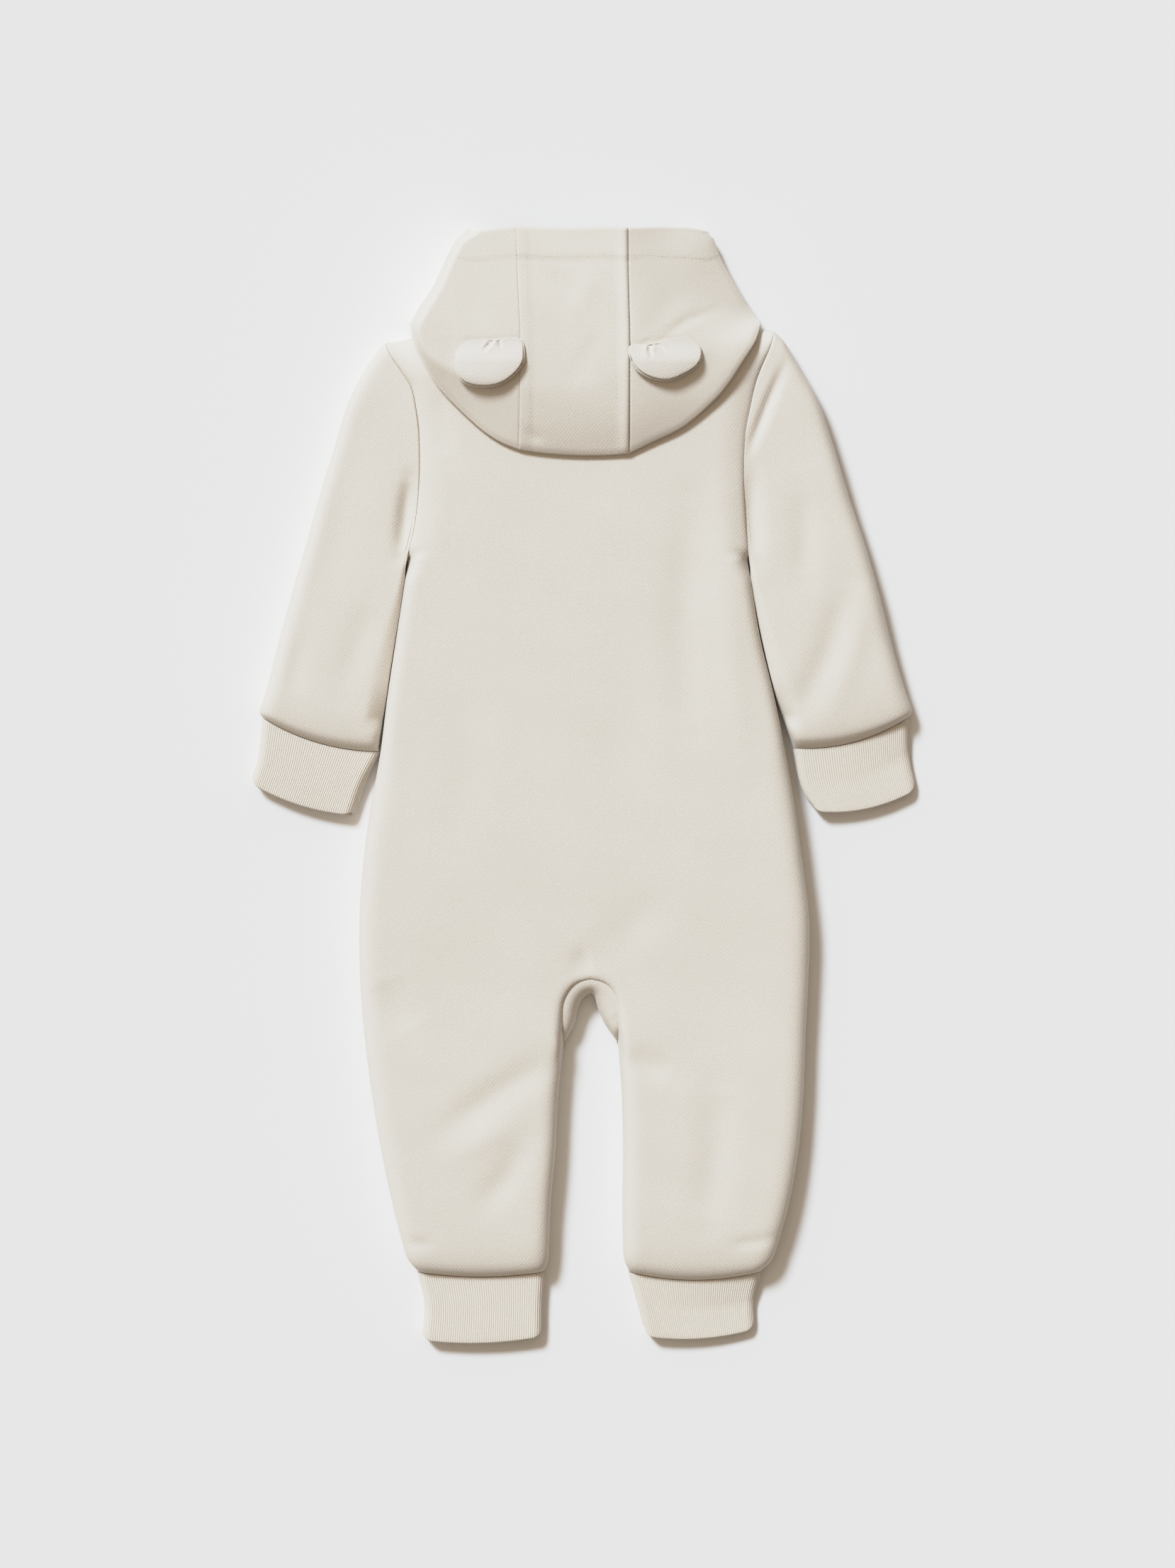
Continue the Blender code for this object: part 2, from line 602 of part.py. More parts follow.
def add_sleeve(cloth, side, back, front):
    arm = BODY_ROWS["arm"]
    over = [back[side, y][0] for y in arm]
    under = [front[side, y][0] for y in arm[1:-1]]
    ring = over + under[::-1]
    tip, pit = cloth.points[over[0]].xy, cloth.points[over[-1]].xy
    chord = (pit - tip).normalized()
    normal = Vector((-chord.y, chord.x)) * (1 if side < 0 else -1)
    spots = [(cloth.points[k].xy - tip).dot(chord) / (pit - tip).length for k in over]
    away = [(cloth.points[k].xy - tip).dot(normal) for k in over]
    deepest = max(away)
    rows = [ring + ring[:1]]
    for number in range(1, 13):
        made = sleeve_ring(number, side, spots, [a / deepest for a in away])
        numbers = [cloth.point(*point) for point in made]
        rows.append(numbers + numbers[:1])
    cloth.grid("sleeve_left" if side < 0 else "sleeve_right", rows, turned=side < 0)


def add_gusset(cloth, back, front):
    """The curved strip between the legs, from the back's arch down to the fronts."""
    arch = BODY_ROWS["arch"]
    stations = [(-1, y) for y in arch[::-1]] + [(-1, CROTCH)] + [(1, y) for y in arch]
    rows = []
    for side, y in stations:
        top, low = back[side, y][-1], front[side, y][-1]
        if top == low:
            rows.append([top] * 4)
            continue
        a, b = cloth.points[top], cloth.points[low]
        between = []
        for angle in (30.0, 60.0):
            sine, cosine = math.sin(math.radians(angle)), math.cos(math.radians(angle))
            between.append(cloth.point(mix(a.x, b.x, sine), mix(a.y, b.y, sine), mix(b.z, a.z, cosine)))
        rows.append([top, *between, low])
    cloth.grid("crotch_gusset", rows)


def body_cloth():
    cloth = Cloth()
    rows, back, front = body_rows(cloth)
    for side in (-1, 1):
        cloth.grid("back", [back[side, y] for y in rows], turned=side < 0)
        panel = "front_left" if side < 0 else "front_right"
        cloth.zip_rows(panel, front[side, rows[0]], front[side, rows[1]], turned=side > 0)
        cloth.grid(panel, [front[side, y] for y in rows[1:]], turned=side > 0)
        add_sleeve(cloth, side, back, front)
    add_gusset(cloth, back, front)
    return cloth


# The cuffs --------------------------------------------------------------------------------


def cuff_ring(table, ring, inset, ribs):
    """Points round a cuff, from the lower left over the top to the lower right, then underneath."""
    left = Vector((table("left_x", ring), table("left_y", ring)))
    right = Vector((table("right_x", ring), table("right_y", ring)))
    length = (right - left).length
    along = (right - left) / length
    normal = Vector((-along.y, along.x))
    half = CUFF_HEIGHT / 2
    flat = length - 2 * half
    arc = math.pi * half
    count = 2 * ribs if ribs else PLAIN_POINTS
    found = []
    for k in range(count + 1):
        run = (flat + arc) * k / count
        radius = half - inset + (RIB_RISE if ribs and k % 2 else 0.0)
        if run < arc / 2:
            turn = run / half
            found.append((half - radius * math.cos(turn), half + radius * math.sin(turn)))
        elif run < arc / 2 + flat:
            found.append((half + run - arc / 2, half + radius))
        else:
            turn = (run - arc / 2 - flat) / half
            found.append((half + flat + radius * math.sin(turn), half + radius * math.cos(turn)))
    radius = half - inset
    bends = [(radius * math.cos(math.radians(a)), half - radius * math.sin(math.radians(a)))
             for a in (30.0, 60.0, 90.0)]
    found += [(half + flat + across, z) for across, z in bends]
    found += [(half + flat * t, half - radius) for t in (0.75, 0.5, 0.25)]
    found += [(half - across, z) for across, z in reversed(bends)]
    points = []
    for x, z in found:
        t = x / length
        bow = table("bow", ring) * 4 * t * (1 - t)
        spot = left + along * x + normal * bow
        points.append(Vector((spot.x, spot.y, z)))
    return points


def add_cuff(name):
    table = CUFFS[name]
    width = math.dist((table("left_x", 0), table("left_y", 0)), (table("right_x", 0), table("right_y", 0)))
    ribs = round((width + (math.pi / 2 - 1) * CUFF_HEIGHT) / RIB_PITCH)
    outer = [cuff_ring(table, ring, 0.0, ribs) for ring in (0, 1, 2)]
    inner = [cuff_ring(table, ring, CUFF_WALL, 0) for ring in (0, 1, 2)]
    shell = Cloth()
    outer = [[shell.point(*point) for point in ring] for ring in outer]
    inner = [[shell.point(*point) for point in ring] for ring in inner]
    top, plain = 2 * ribs, PLAIN_POINTS
    shell.grid(name, [ring + ring[:1] for ring in outer], turned=True)
    shell.grid(name, [ring + ring[:1] for ring in inner])
    for end, turned in ((0, True), (2, False)):
        shell.zip_rows(name, inner[end][: plain + 1], outer[end][: top + 1], turned)
        low_in = inner[end][plain:] + inner[end][:1]
        low_out = outer[end][top:] + outer[end][:1]
        shell.grid(name, [low_in, low_out], turned)
    return make_object(name, shell.points, [c for _, c in shell.faces], material("rib_knit", PALE_RIB, 0.92))


# The hood ---------------------------------------------------------------------------------


class Rest:
    """Heights of what already lies there."""

    def __init__(self, tree):
        self.tree = tree

    def at(self, x, y):
        hit = self.tree.ray_cast(Vector((x, y, 200.0)), Vector((0, 0, -1)))
        return hit[0].z if hit[0] else 0.0

    def around(self, x, y, reach=6.0):
        spots = [(x + dx, y + dy) for dx in (-reach, 0, reach) for dy in (-reach, 0, reach)]
        return max(self.at(*spot) for spot in spots)


def hood_layer_below(rest, x, y):
    """Height of the hood's lower layer: flat on the floor above the shoulders, on the back below them."""
    return rest.around(x, y) + REST_GAP if y < HOOD_ON_FLOOR else 0.0


def hood_neck_height(rest, x):
    """Height of the hood's edge where it laps the back's neck edge."""
    return max(rest.at(x + reach, NECK_TOP - 1.5) for reach in (-6.0, 0.0, 6.0)) + REST_GAP


def hood_middle(cloth, rest):
    """The middle panel's rows: down its top, round the fold at the bottom, and back up underneath."""
    def across(y):
        low, high = HOOD("seam_left", y), HOOD("seam_right", y)
        return [mix(low, high, t) for t in (0.0, 0.25, 0.5, 0.75, 1.0)]

    upper, lower = {}, {}
    for y in HOOD_ROWS:
        lift = 1.0 if y == HOOD_ROWS[0] else 0.0
        upper[y] = [
            cloth.point(x, mix(y, HOOD_EDGE("y", x), lift), HOOD("top", y)) for x in across(y)
        ]
    for y in (row for row in HOOD_ROWS if row <= HOOD_NECK_ROW):
        if y == HOOD_NECK_ROW:
            lower[y] = [cloth.point(x, NECK_TOP, hood_neck_height(rest, x)) for x in across(y)]
        else:
            lower[y] = [cloth.point(x, y, hood_layer_below(rest, x, y)) for x in across(y)]
    last = HOOD_ROWS[-1]
    folds = []
    for angle in HOOD_FOLD_ANGLES:
        sine, cosine = math.sin(math.radians(angle)), math.cos(math.radians(angle))
        row = []
        for high, low in zip(upper[last], lower[last]):
            a, b = cloth.points[high], cloth.points[low]
            reach = last - HOOD_BOTTOM("y", a.x)
            row.append(cloth.point(a.x, last - reach * sine, mix(b.z, a.z, (1 + cosine) / 2)))
        folds.append(row)
    rows = [upper[y] for y in HOOD_ROWS] + folds
    rows += [lower[y] for y in reversed(HOOD_ROWS) if y <= HOOD_NECK_ROW]
    cloth.grid("hood_center", rows, turned=True)
    return upper, folds, lower


def hood_over(cloth, rest, y, side, seam_point):
    """One row over the top of a side panel, from the middle seam to the side fold."""
    name = "left" if side < 0 else "right"
    seam, fold = HOOD("seam_" + name, y), HOOD(name, y)
    width = abs(fold - seam)
    waist = hood_layer_below(rest, fold - side * HOOD_TUCK, y) + HOOD_LAYER / 2
    top = max(HOOD("top", y), waist + 3.0)
    row = [seam_point]
    for spot in HOOD_TOP_SPOTS:
        x = mix(seam, fold, spot)
        z = mix(waist, top, roll((1 - spot) * width / min(HOOD_ROLL, width)))
        lift = HOOD_EDGE("y", x) - HOOD_ROWS[0] if y == HOOD_ROWS[0] else 0.0
        row.append(cloth.point(x, y + lift, z))
    return row + [cloth.point(fold, y, waist)]


def hood_under(cloth, rest, y, fold_point, end, end_point=None):
    """One row underneath a side panel, from the side fold to its end at X = end."""
    fold = cloth.points[fold_point]
    spots = [1 - HOOD_TUCK / abs(fold.x - end), *HOOD_LOW_SPOTS]
    row = []
    for spot in spots:
        x = mix(end, fold.x, spot)
        low = hood_layer_below(rest, x, y)
        row.append(cloth.point(x, y, mix(fold.z, low, roll(abs(fold.x - x) / HOOD_SIDE_ROLL))))
    if end_point is None:
        end_point = cloth.point(end, y, hood_layer_below(rest, end, y))
    return row + [end_point]


def hood_neck(cloth, rest, side, fold_point, seam_point):
    """The neck hole's two edges, which meet beyond the shoulder: to the fronts, and to the back."""
    fold = cloth.points[fold_point]
    neck = side * NECK_HALF
    low, high = [], []
    for x in (fold.x - side * HOOD_TUCK, mix(fold.x, neck, 0.5)):
        over = hood_layer_below(rest, x, HOOD_NECK_ROW)
        bend = roll(abs(fold.x - x) / HOOD_SIDE_ROLL)
        low.append(cloth.point(x, HOOD_NECK_ROW + NECK_SPLIT, mix(fold.z, 0.4 * over, bend)))
        high.append(cloth.point(x, HOOD_NECK_ROW, mix(fold.z, over, bend)))
    for x in (neck, mix(neck, side * FACE_GAP, 0.5), side * FACE_GAP):
        low.append(cloth.point(x, NECK_TOP, 0.0))
    for x in (neck, mix(neck, cloth.points[seam_point].x, 0.5)):
        high.append(cloth.point(x, NECK_TOP, hood_neck_height(rest, x)))
    return low, high + [seam_point]


def hood_side(cloth, rest, side, upper, folds, lower):
    """A side panel: over the top, round the side fold, and underneath to the face opening and the neck."""
    name = "left" if side < 0 else "right"
    end = 0 if side < 0 else -1
    above, below = [], []
    for y in HOOD_ROWS:
        over = hood_over(cloth, rest, y, side, upper[y][end])
        if y > HOOD_NECK_ROW:
            run = (HOOD_ROWS[0] - y) / (HOOD_ROWS[0] - NECK_TOP)
            edge = mix(cloth.points[over[-1]].x - side * FACE_CORNER, side * FACE_GAP, run)
            above.append(over + hood_under(cloth, rest, y, over[-1], edge))
        elif y == HOOD_NECK_ROW:
            low, high = hood_neck(cloth, rest, side, over[-1], lower[y][end])
            above.append(over + low)
            below.append(over + high)
            bridge = [[over[-1], *low[:3]], [over[-1], *high[:3]]]
        else:
            seam = HOOD("seam_" + name, y)
            below.append(over + hood_under(cloth, rest, y, over[-1], seam, lower[y][end]))
    cloth.grid("hood_" + name, above, turned=side > 0)
    cloth.grid("hood_" + name, bridge, turned=side > 0)
    cloth.grid("hood_" + name, below, turned=side > 0)
    last = HOOD_ROWS[-1]
    curve = [upper[last][end]] + [row[end] for row in folds] + [lower[last][end]]
    cloth.zip_rows("hood_" + name, below[-1], curve, turned=side > 0)


def hood_cloth(rest):
    cloth = Cloth()
    upper, folds, lower = hood_middle(cloth, rest)
    for side in (-1, 1):
        hood_side(cloth, rest, side, upper, folds, lower)
    return cloth


# The ears ---------------------------------------------------------------------------------


def smooth_loop(corners, count):
    """Points spaced evenly in number along a closed smooth curve through the corners."""
    found = []
    for k in range(count):
        place = k / count * len(corners)
        i, t = int(place), place % 1
        a, b, c, d = (Vector(corners[(i + n) % len(corners)]) for n in (-1, 0, 1, 2))
        found.append(b + (c - a) * t / 2 + (a * 2 - b * 5 + c * 4 - d) * t * t / 2
                     + (b * 3 - a - c * 3 + d) * t**3 / 2)
    return found


def add_ear_layer(rest, side, layer, finish):
    """One of an ear's two layers: a slightly domed disc of cloth, lifted towards its free edge."""
    rim = smooth_loop(EARS[side], EAR_POINTS)
    heart = sum(rim, Vector((0, 0))) / len(rim)
    size, start, dome = EAR_LAYERS[layer]

    def base(spot):
        lift = EAR_LIFT * step((EAR_TOP - spot.y) / EAR_LENGTH)
        return rest.around(spot.x, spot.y, 4.0) + REST_GAP + lift + start

    points, faces = [], []
    for scale in EAR_RINGS:
        for spot in rim:
            place = heart + (spot - heart) * scale * size
            low = base(place)
            swell = dome * roll((1 - scale) / (1 - EAR_RINGS[-1]))
            points += [Vector((*place, low)), Vector((*place, low + EAR_WALL + swell))]
    low = base(heart)
    points += [Vector((*heart, low)), Vector((*heart, low + EAR_WALL + dome))]
    count = len(rim)
    for k in range(count):
        a, b = 2 * k, 2 * ((k + 1) % count)
        faces.append([a + 1, a, b, b + 1])
        for ring in (0, 1):
            c, d = 2 * count * ring, 2 * count * (ring + 1)
            faces.append([a + c + 1, b + c + 1, b + d + 1, a + d + 1])
            faces.append([b + c, a + c, a + d, b + d])
        c, middle_low = 4 * count, 6 * count
        faces.append([a + c + 1, b + c + 1, middle_low + 1])
        faces.append([b + c, a + c, middle_low])
    return make_object(f"ear_{side}_{layer}", points, faces, finish)


# The front closure ------------------------------------------------------------------------


def add_placket(finish):
    """The strip behind the fronts' meeting edges: flat on the left front, raised over the studs."""
    over_studs = STUD_THICKNESS + SEAM_GAP
    stops = ((-10.0, 0.0), (-1.0, 0.0), (2.5, over_studs), (14.0, over_studs))
    rows = PLACKET_ROWS
    points, faces = [], []
    for k in range(rows + 1):
        y = mix(PLACKET_TOP, PLACKET_LOW, k / rows)
        for x, rise in stops:
            low = WALL + SEAM_GAP + rise
            points += [Vector((middle(y) + x, y, low)), Vector((middle(y) + x, y, low + WALL))]
    width = 2 * len(stops)
    for k in range(rows):
        for i in range(0, width - 2, 2):
            a, c = k * width + i, (k + 1) * width + i
            faces.append([a + 1, c + 1, c + 3, a + 3])
            faces.append([a, a + 2, c + 2, c])
        a, c = k * width, (k + 1) * width
        faces.append([a, c, c + 1, a + 1])
        faces.append([a + width - 1, c + width - 1, c + width - 2, a + width - 2])
    for i in range(0, width - 2, 2):
        a, c = i, rows * width + i
        faces.append([a, a + 1, a + 3, a + 2])
        faces.append([c + 2, c + 3, c + 1, c])
    return make_object("front_placket", points, faces, finish)


def add_studs(finish):
    for k in range(STUD_COUNT):
        y = mix(PLACKET_TOP - STUD_MARGIN, PLACKET_LOW + STUD_MARGIN, k / (STUD_COUNT - 1))
        mesh = bpy.data.meshes.new(f"press_stud_{k + 1}")
        disc = bmesh.new()
        bmesh.ops.create_cone(
            disc, cap_ends=True, segments=14, radius1=STUD_RADIUS * MM, radius2=STUD_RADIUS * MM,
            depth=STUD_THICKNESS * MM,
        )
        disc.to_mesh(mesh)
        disc.free()
        mesh.materials.append(finish)
        stud = bpy.data.objects.new(mesh.name, mesh)
        stud.location = Vector((middle(y) + STUD_OFFSET, y, WALL + SEAM_GAP + STUD_THICKNESS / 2)) * MM
        bpy.context.scene.collection.objects.link(stud)


def main():
    for old in list(bpy.data.objects):
        bpy.data.objects.remove(old)
    fleece = material("fleece", CREAM, 0.9)
    body = body_cloth()
    for panel in ("back", "front_left", "front_right", "sleeve_left", "sleeve_right", "crotch_gusset"):
        body.cut_out(panel, fleece)
    for name in CUFFS:
        add_cuff(name)
    hood = hood_cloth(Rest(body.tree()))
    for panel in ("hood_left", "hood_center", "hood_right"):
        hood.cut_out(panel, fleece)
    on_hood = Rest(hood.tree())
    for side in EARS:
        for layer in EAR_LAYERS:
            add_ear_layer(on_hood, side, layer, fleece)
    add_placket(fleece)
    add_studs(material("stud_metal", STUD_METAL, 0.35, 1.0))


if __name__ == "__main__":
    main()
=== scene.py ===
"""Looks of a baby's hooded overall in cream fleece, laid face down on a pale floor.

Every form is worked out in millimetres from the tables below and turned into metres by MM.
Left and right are as seen from above, where the garment's back shows.
"""

import math

import bpy
import numpy as np
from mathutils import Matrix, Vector
from mathutils.bvhtree import BVHTree


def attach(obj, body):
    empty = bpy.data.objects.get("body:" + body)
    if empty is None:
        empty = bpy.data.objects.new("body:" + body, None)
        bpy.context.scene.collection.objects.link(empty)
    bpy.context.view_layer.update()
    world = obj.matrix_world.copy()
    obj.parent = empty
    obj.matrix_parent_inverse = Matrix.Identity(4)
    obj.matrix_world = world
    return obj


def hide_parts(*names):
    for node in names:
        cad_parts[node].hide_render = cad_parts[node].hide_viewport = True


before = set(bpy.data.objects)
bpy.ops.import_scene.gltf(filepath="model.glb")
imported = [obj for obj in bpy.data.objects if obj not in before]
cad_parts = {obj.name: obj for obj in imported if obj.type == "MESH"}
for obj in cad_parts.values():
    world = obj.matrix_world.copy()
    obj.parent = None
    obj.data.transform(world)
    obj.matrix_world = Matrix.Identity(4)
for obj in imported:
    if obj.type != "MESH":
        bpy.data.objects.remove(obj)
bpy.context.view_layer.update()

bl_info = {
    "name": "Hooded baby overall",
    "version": (1, 0, 0),
    "blender": (4, 5, 0),
    "location": "3D View > Sidebar > Overall",
    "description": "Makes the cloth, ribbing, ears and stitching of a laid baby overall",
    "category": "Object",
}

MM = 0.001
SIDE_NAMES = {-1: "left", 1: "right"}

# The body's main lines
NECK_TOP = 280.7
NECK_HALF = 54.0
NECK_LEVEL_HALF = 26.0
NECK_HEIGHT = 15.0
FOLD_HEIGHT = 5.0
UNDERARM = 137.6
CROTCH = -118.7
INSEAM_TOP = -157.5
HEM = -296.5
CROTCH_MIDDLE = 4.5
SHOULDER_TIPS = {-1: (-116.1, 268.0), 1: (115.2, 275.2)}
HEM_BOW = {-1: 3.0, 1: 5.0}
CLOSING = 16.0
WAIST_SHARE = 0.47
INSEAM_ROLL = 12.0
LEG_ROLL = 10.0
ARCH_ROLL = 4.5
LOW_ROLL = 9.0
SHOULDER_ROLL = 30.0
SLEEVE_EDGE = 12.0
PIT_SHARE = 0.64
PIT_HEIGHT = 12.5
SIDE_HEIGHT = 16.0
TUCK = 1.0
TUCK_SLOPE = 11.0
CAMERA_HEIGHT = 3183.0
SLEEVE_HEIGHT = 20.5
CUFF_HEIGHT = 10.0
RIB_PITCH = 1.42


def mix(a, b, t):
    return a + (b - a) * t


def clip(t):
    return np.clip(t, 0.0, 1.0)


def step(t):
    """0 to 1, smoothly, as t goes from 0 to 1."""
    t = clip(t)
    return t * t * (3 - 2 * t)


def roll(t):
    """Height of a quarter round over its width: 0 at the edge, 1 from its full width on."""
    return np.sqrt(1 - (1 - clip(t)) ** 2)


def rounded(t, power):
    """Height of a rounded edge over its width: the higher the power, the steeper at the edge."""
    return (1 - (1 - clip(t)) ** power) ** (1 / power)


def tight_roll(t):
    """Height of a pressed edge over its width: steep at the edge and level soon after."""
    return rounded(t, 2.8)


def eased(t, power=2):
    """0 to 1, fast at first and then ever slower, as t goes from 0 to 1."""
    return 1 - (1 - clip(t)) ** power


def bell(t):
    """1 where t is 0, fading to nothing by about 2 on both sides."""
    return np.exp(-(t ** 2))


class Table:
    """Rows under named columns. A column is read as a smooth curve over the first one."""

    def __init__(self, columns, rows):
        self.names = columns.split()
        self.rows = np.array(sorted(rows), float)

    def __call__(self, column, key):
        keys, values = self.rows[:, 0], self.rows[:, self.names.index(column)]
        low = np.maximum(np.arange(len(keys)) - 1, 0)
        high = np.minimum(np.arange(len(keys)) + 1, len(keys) - 1)
        slopes = (values[high] - values[low]) / (keys[high] - keys[low])
        key = np.clip(key, keys[0], keys[-1])
        i = np.clip(np.searchsorted(keys, key, side="right") - 1, 0, len(keys) - 2)
        span = keys[i + 1] - keys[i]
        t = (key - keys[i]) / span
        start = (1 + 2 * t) * (1 - t) ** 2 * values[i] + t * (1 - t) ** 2 * span * slopes[i]
        end = t * t * (3 - 2 * t) * values[i + 1] - t * t * (1 - t) * span * slopes[i + 1]
        return start + end


ARMHOLES = Table("y left right", (
    (137.6, -106.6, 100.2), (157.0, -101.9, 98.4), (183.0, -99.3, 97.2), (211.6, -99.3, 98.2),
    (227.5, -101.0, 101.0), (243.4, -104.0, 104.3), (252.8, -108.8, 107.3), (268.0, -116.1, 113.2),
    (275.2, -119.0, 115.2),
))
SIDES = Table("y left right", (
    (-296.0, -100.5, 108.0), (-290.0, -105.8, 114.0), (-284.0, -108.4, 116.8), (-256.0, -115.7, 124.7),
    (-221.5, -123.0, 130.7), (-187.0, -128.6, 133.7), (-152.7, -132.9, 135.0), (-118.3, -135.5, 136.7),
    (-84.0, -135.9, 137.2), (-49.5, -133.7, 133.3), (-15.0, -129.0, 128.6), (19.4, -123.0, 122.6),
    (53.8, -118.7, 115.7), (88.2, -113.5, 107.5), (122.6, -108.4, 101.9), (137.6, -106.6, 100.2),
))
INSEAMS = Table("y left right", (
    (-296.0, -23.6, 27.6), (-290.0, -21.4, 25.0), (-284.0, -20.9, 24.2), (-256.0, -19.8, 23.7),
    (-221.5, -16.8, 24.1), (-187.0, -15.0, 23.2), (-157.5, -11.8, 21.1),
))
LOFT = Table("y height roll", (
    (-296.5, 10.4, 6.0), (-295.6, 13.4, 8.0), (-293.6, 16.6, 10.0), (-290.0, 18.8, 12.0),
    (-279.0, 20.8, 14.0),
    (-244.0, 22.0, 14.0), (-198.0, 22.3, 14.0), (-140.0, 22.0, 14.0), (-118.7, 22.2, 14.0),
    (-57.0, 24.0, 14.0), (43.0, 24.5, 15.0), (200.0, 24.0, 17.0), (280.7, 24.0, 17.0),
))
SHOULDER_FADE = Table("y share", (
    (202.0, 0.0), (220.0, 0.1), (238.0, 0.3), (254.0, 0.5), (267.0, 0.75), (276.0, 0.9), (280.7, 1.0),
))
HEM_FADE = Table("y share", ((-296.5, 1.0), (-293.0, 0.7), (-288.0, 0.35), (-279.0, 0.0)))
# The gusset's two edges, from the left inseam over the apex to the right one: to the back, to the fronts
ARCH_BACK = (
    (-11.8, -157.5, 5.0), (-12.7, -149.5, 15.5), (-12.9, -140.0, 18.8), (-12.0, -132.0, 20.0),
    (-8.4, -124.9, 20.6), (-3.0, -120.3, 21.0), (4.5, -118.7, 21.2), (12.2, -120.4, 21.0),
    (17.5, -124.9, 20.6), (20.6, -132.0, 20.0), (21.5, -140.0, 18.8), (21.4, -149.5, 15.5),
    (21.1, -157.5, 5.0),
)
ARCH_FRONT = (
    (-11.8, -157.5, 5.0), (-8.0, -152.0, 1.0), (-5.0, -146.0, 0.0), (-3.4, -139.0, 0.0),
    (-1.6, -133.4, 0.0), (1.4, -129.6, 0.0), (4.5, -128.0, 0.0), (6.2, -129.6, 0.0),
    (7.6, -133.4, 0.0), (9.6, -139.0, 0.0), (12.8, -146.0, 0.0), (17.0, -152.0, 1.0), (21.1, -157.5, 5.0),
)
SLEEVE_COLUMNS = "ring outer_x outer_y inner_x inner_y bow height parted"
SLEEVES = {
    -1: Table(SLEEVE_COLUMNS, (
        (1, -122.5, 265.5, -107.3, 133.0, 12.0, 20.5, 0.1),
        (2, -133.5, 249.5, -108.7, 125.0, 10.5, 20.5, 0.4),
        (3, -143.3, 230.0, -110.3, 115.0, 8.5, 20.5, 0.7),
        (4, -151.3, 204.0, -112.1, 103.0, 6.0, 20.5, 1.0),
        (5, -160.0, 175.5, -114.2, 90.0, 4.0, 20.5, 1.0), (6, -168.5, 145.0, -116.2, 77.0, 2.0, 20.5, 1.0),
        (7, -177.0, 115.5, -118.2, 63.5, 0.0, 20.5, 1.0), (8, -185.0, 86.5, -120.0, 50.0, -1.5, 20.0, 1.0),
        (9, -191.7, 60.0, -122.0, 37.0, -3.0, 19.5, 1.0), (10, -196.2, 46.5, -123.4, 26.5, -4.5, 17.6, 1.0),
        (11, -196.8, 42.7, -124.0, 22.0, -5.0, 14.6, 1.0),
        (12, -194.8, 40.0, -123.6, 19.4, -5.3, 10.2, 1.0),
    )),
    1: Table(SLEEVE_COLUMNS, (
        (1, 121.5, 269.5, 100.9, 133.0, 12.0, 20.5, 0.1), (2, 132.5, 251.0, 102.1, 125.0, 10.5, 20.5, 0.4),
        (3, 143.0, 232.0, 103.6, 115.0, 8.5, 20.5, 0.7), (4, 152.6, 204.0, 105.9, 103.0, 6.0, 20.5, 1.0),
        (5, 161.2, 175.5, 108.4, 90.0, 4.0, 20.5, 1.0), (6, 171.3, 145.0, 111.2, 77.0, 2.0, 20.5, 1.0),
        (7, 179.8, 115.5, 114.3, 63.5, 0.0, 20.5, 1.0), (8, 187.0, 86.5, 118.0, 50.0, -1.5, 20.0, 1.0),
        (9, 194.6, 60.0, 122.0, 38.0, -3.0, 19.5, 1.0), (10, 199.4, 46.5, 125.4, 28.5, -4.8, 17.6, 1.0),
        (11, 199.8, 42.7, 126.8, 24.5, -5.6, 14.6, 1.0), (12, 197.4, 40.0, 127.6, 21.5, -6.0, 10.2, 1.0),
    )),
}
CUFF_COLUMNS = "ring left_x left_y right_x right_y bow"
CUFFS = {
    "sleeve_cuff_left": Table(CUFF_COLUMNS, (
        (0, -194.8, 39.7, -123.7, 19.1, -5.3), (1, -197.4, 16.0, -134.0, 0.0, -4.4),
        (2, -202.1, 1.0, -140.5, -18.6, -3.8),
    )),
    "sleeve_cuff_right": Table(CUFF_COLUMNS, (
        (0, 127.7, 21.2, 197.4, 39.7, -6.0), (1, 132.0, 0.0, 197.9, 18.0, -5.8),
        (2, 140.0, -16.4, 202.2, -3.2, -5.0),
    )),
    "leg_cuff_left": Table(CUFF_COLUMNS, (
        (0, -100.5, -296.8, -23.6, -296.8, -3.0), (1, -96.4, -316.0, -24.8, -314.0, -2.6),
        (2, -97.6, -337.4, -25.2, -335.2, -2.8),
    )),
    "leg_cuff_right": Table(CUFF_COLUMNS, (
        (0, 27.6, -296.8, 108.0, -296.8, -5.0), (1, 33.2, -316.0, 103.6, -315.0, -3.5),
        (2, 37.6, -335.0, 104.0, -331.0, -3.6),
    )),
}

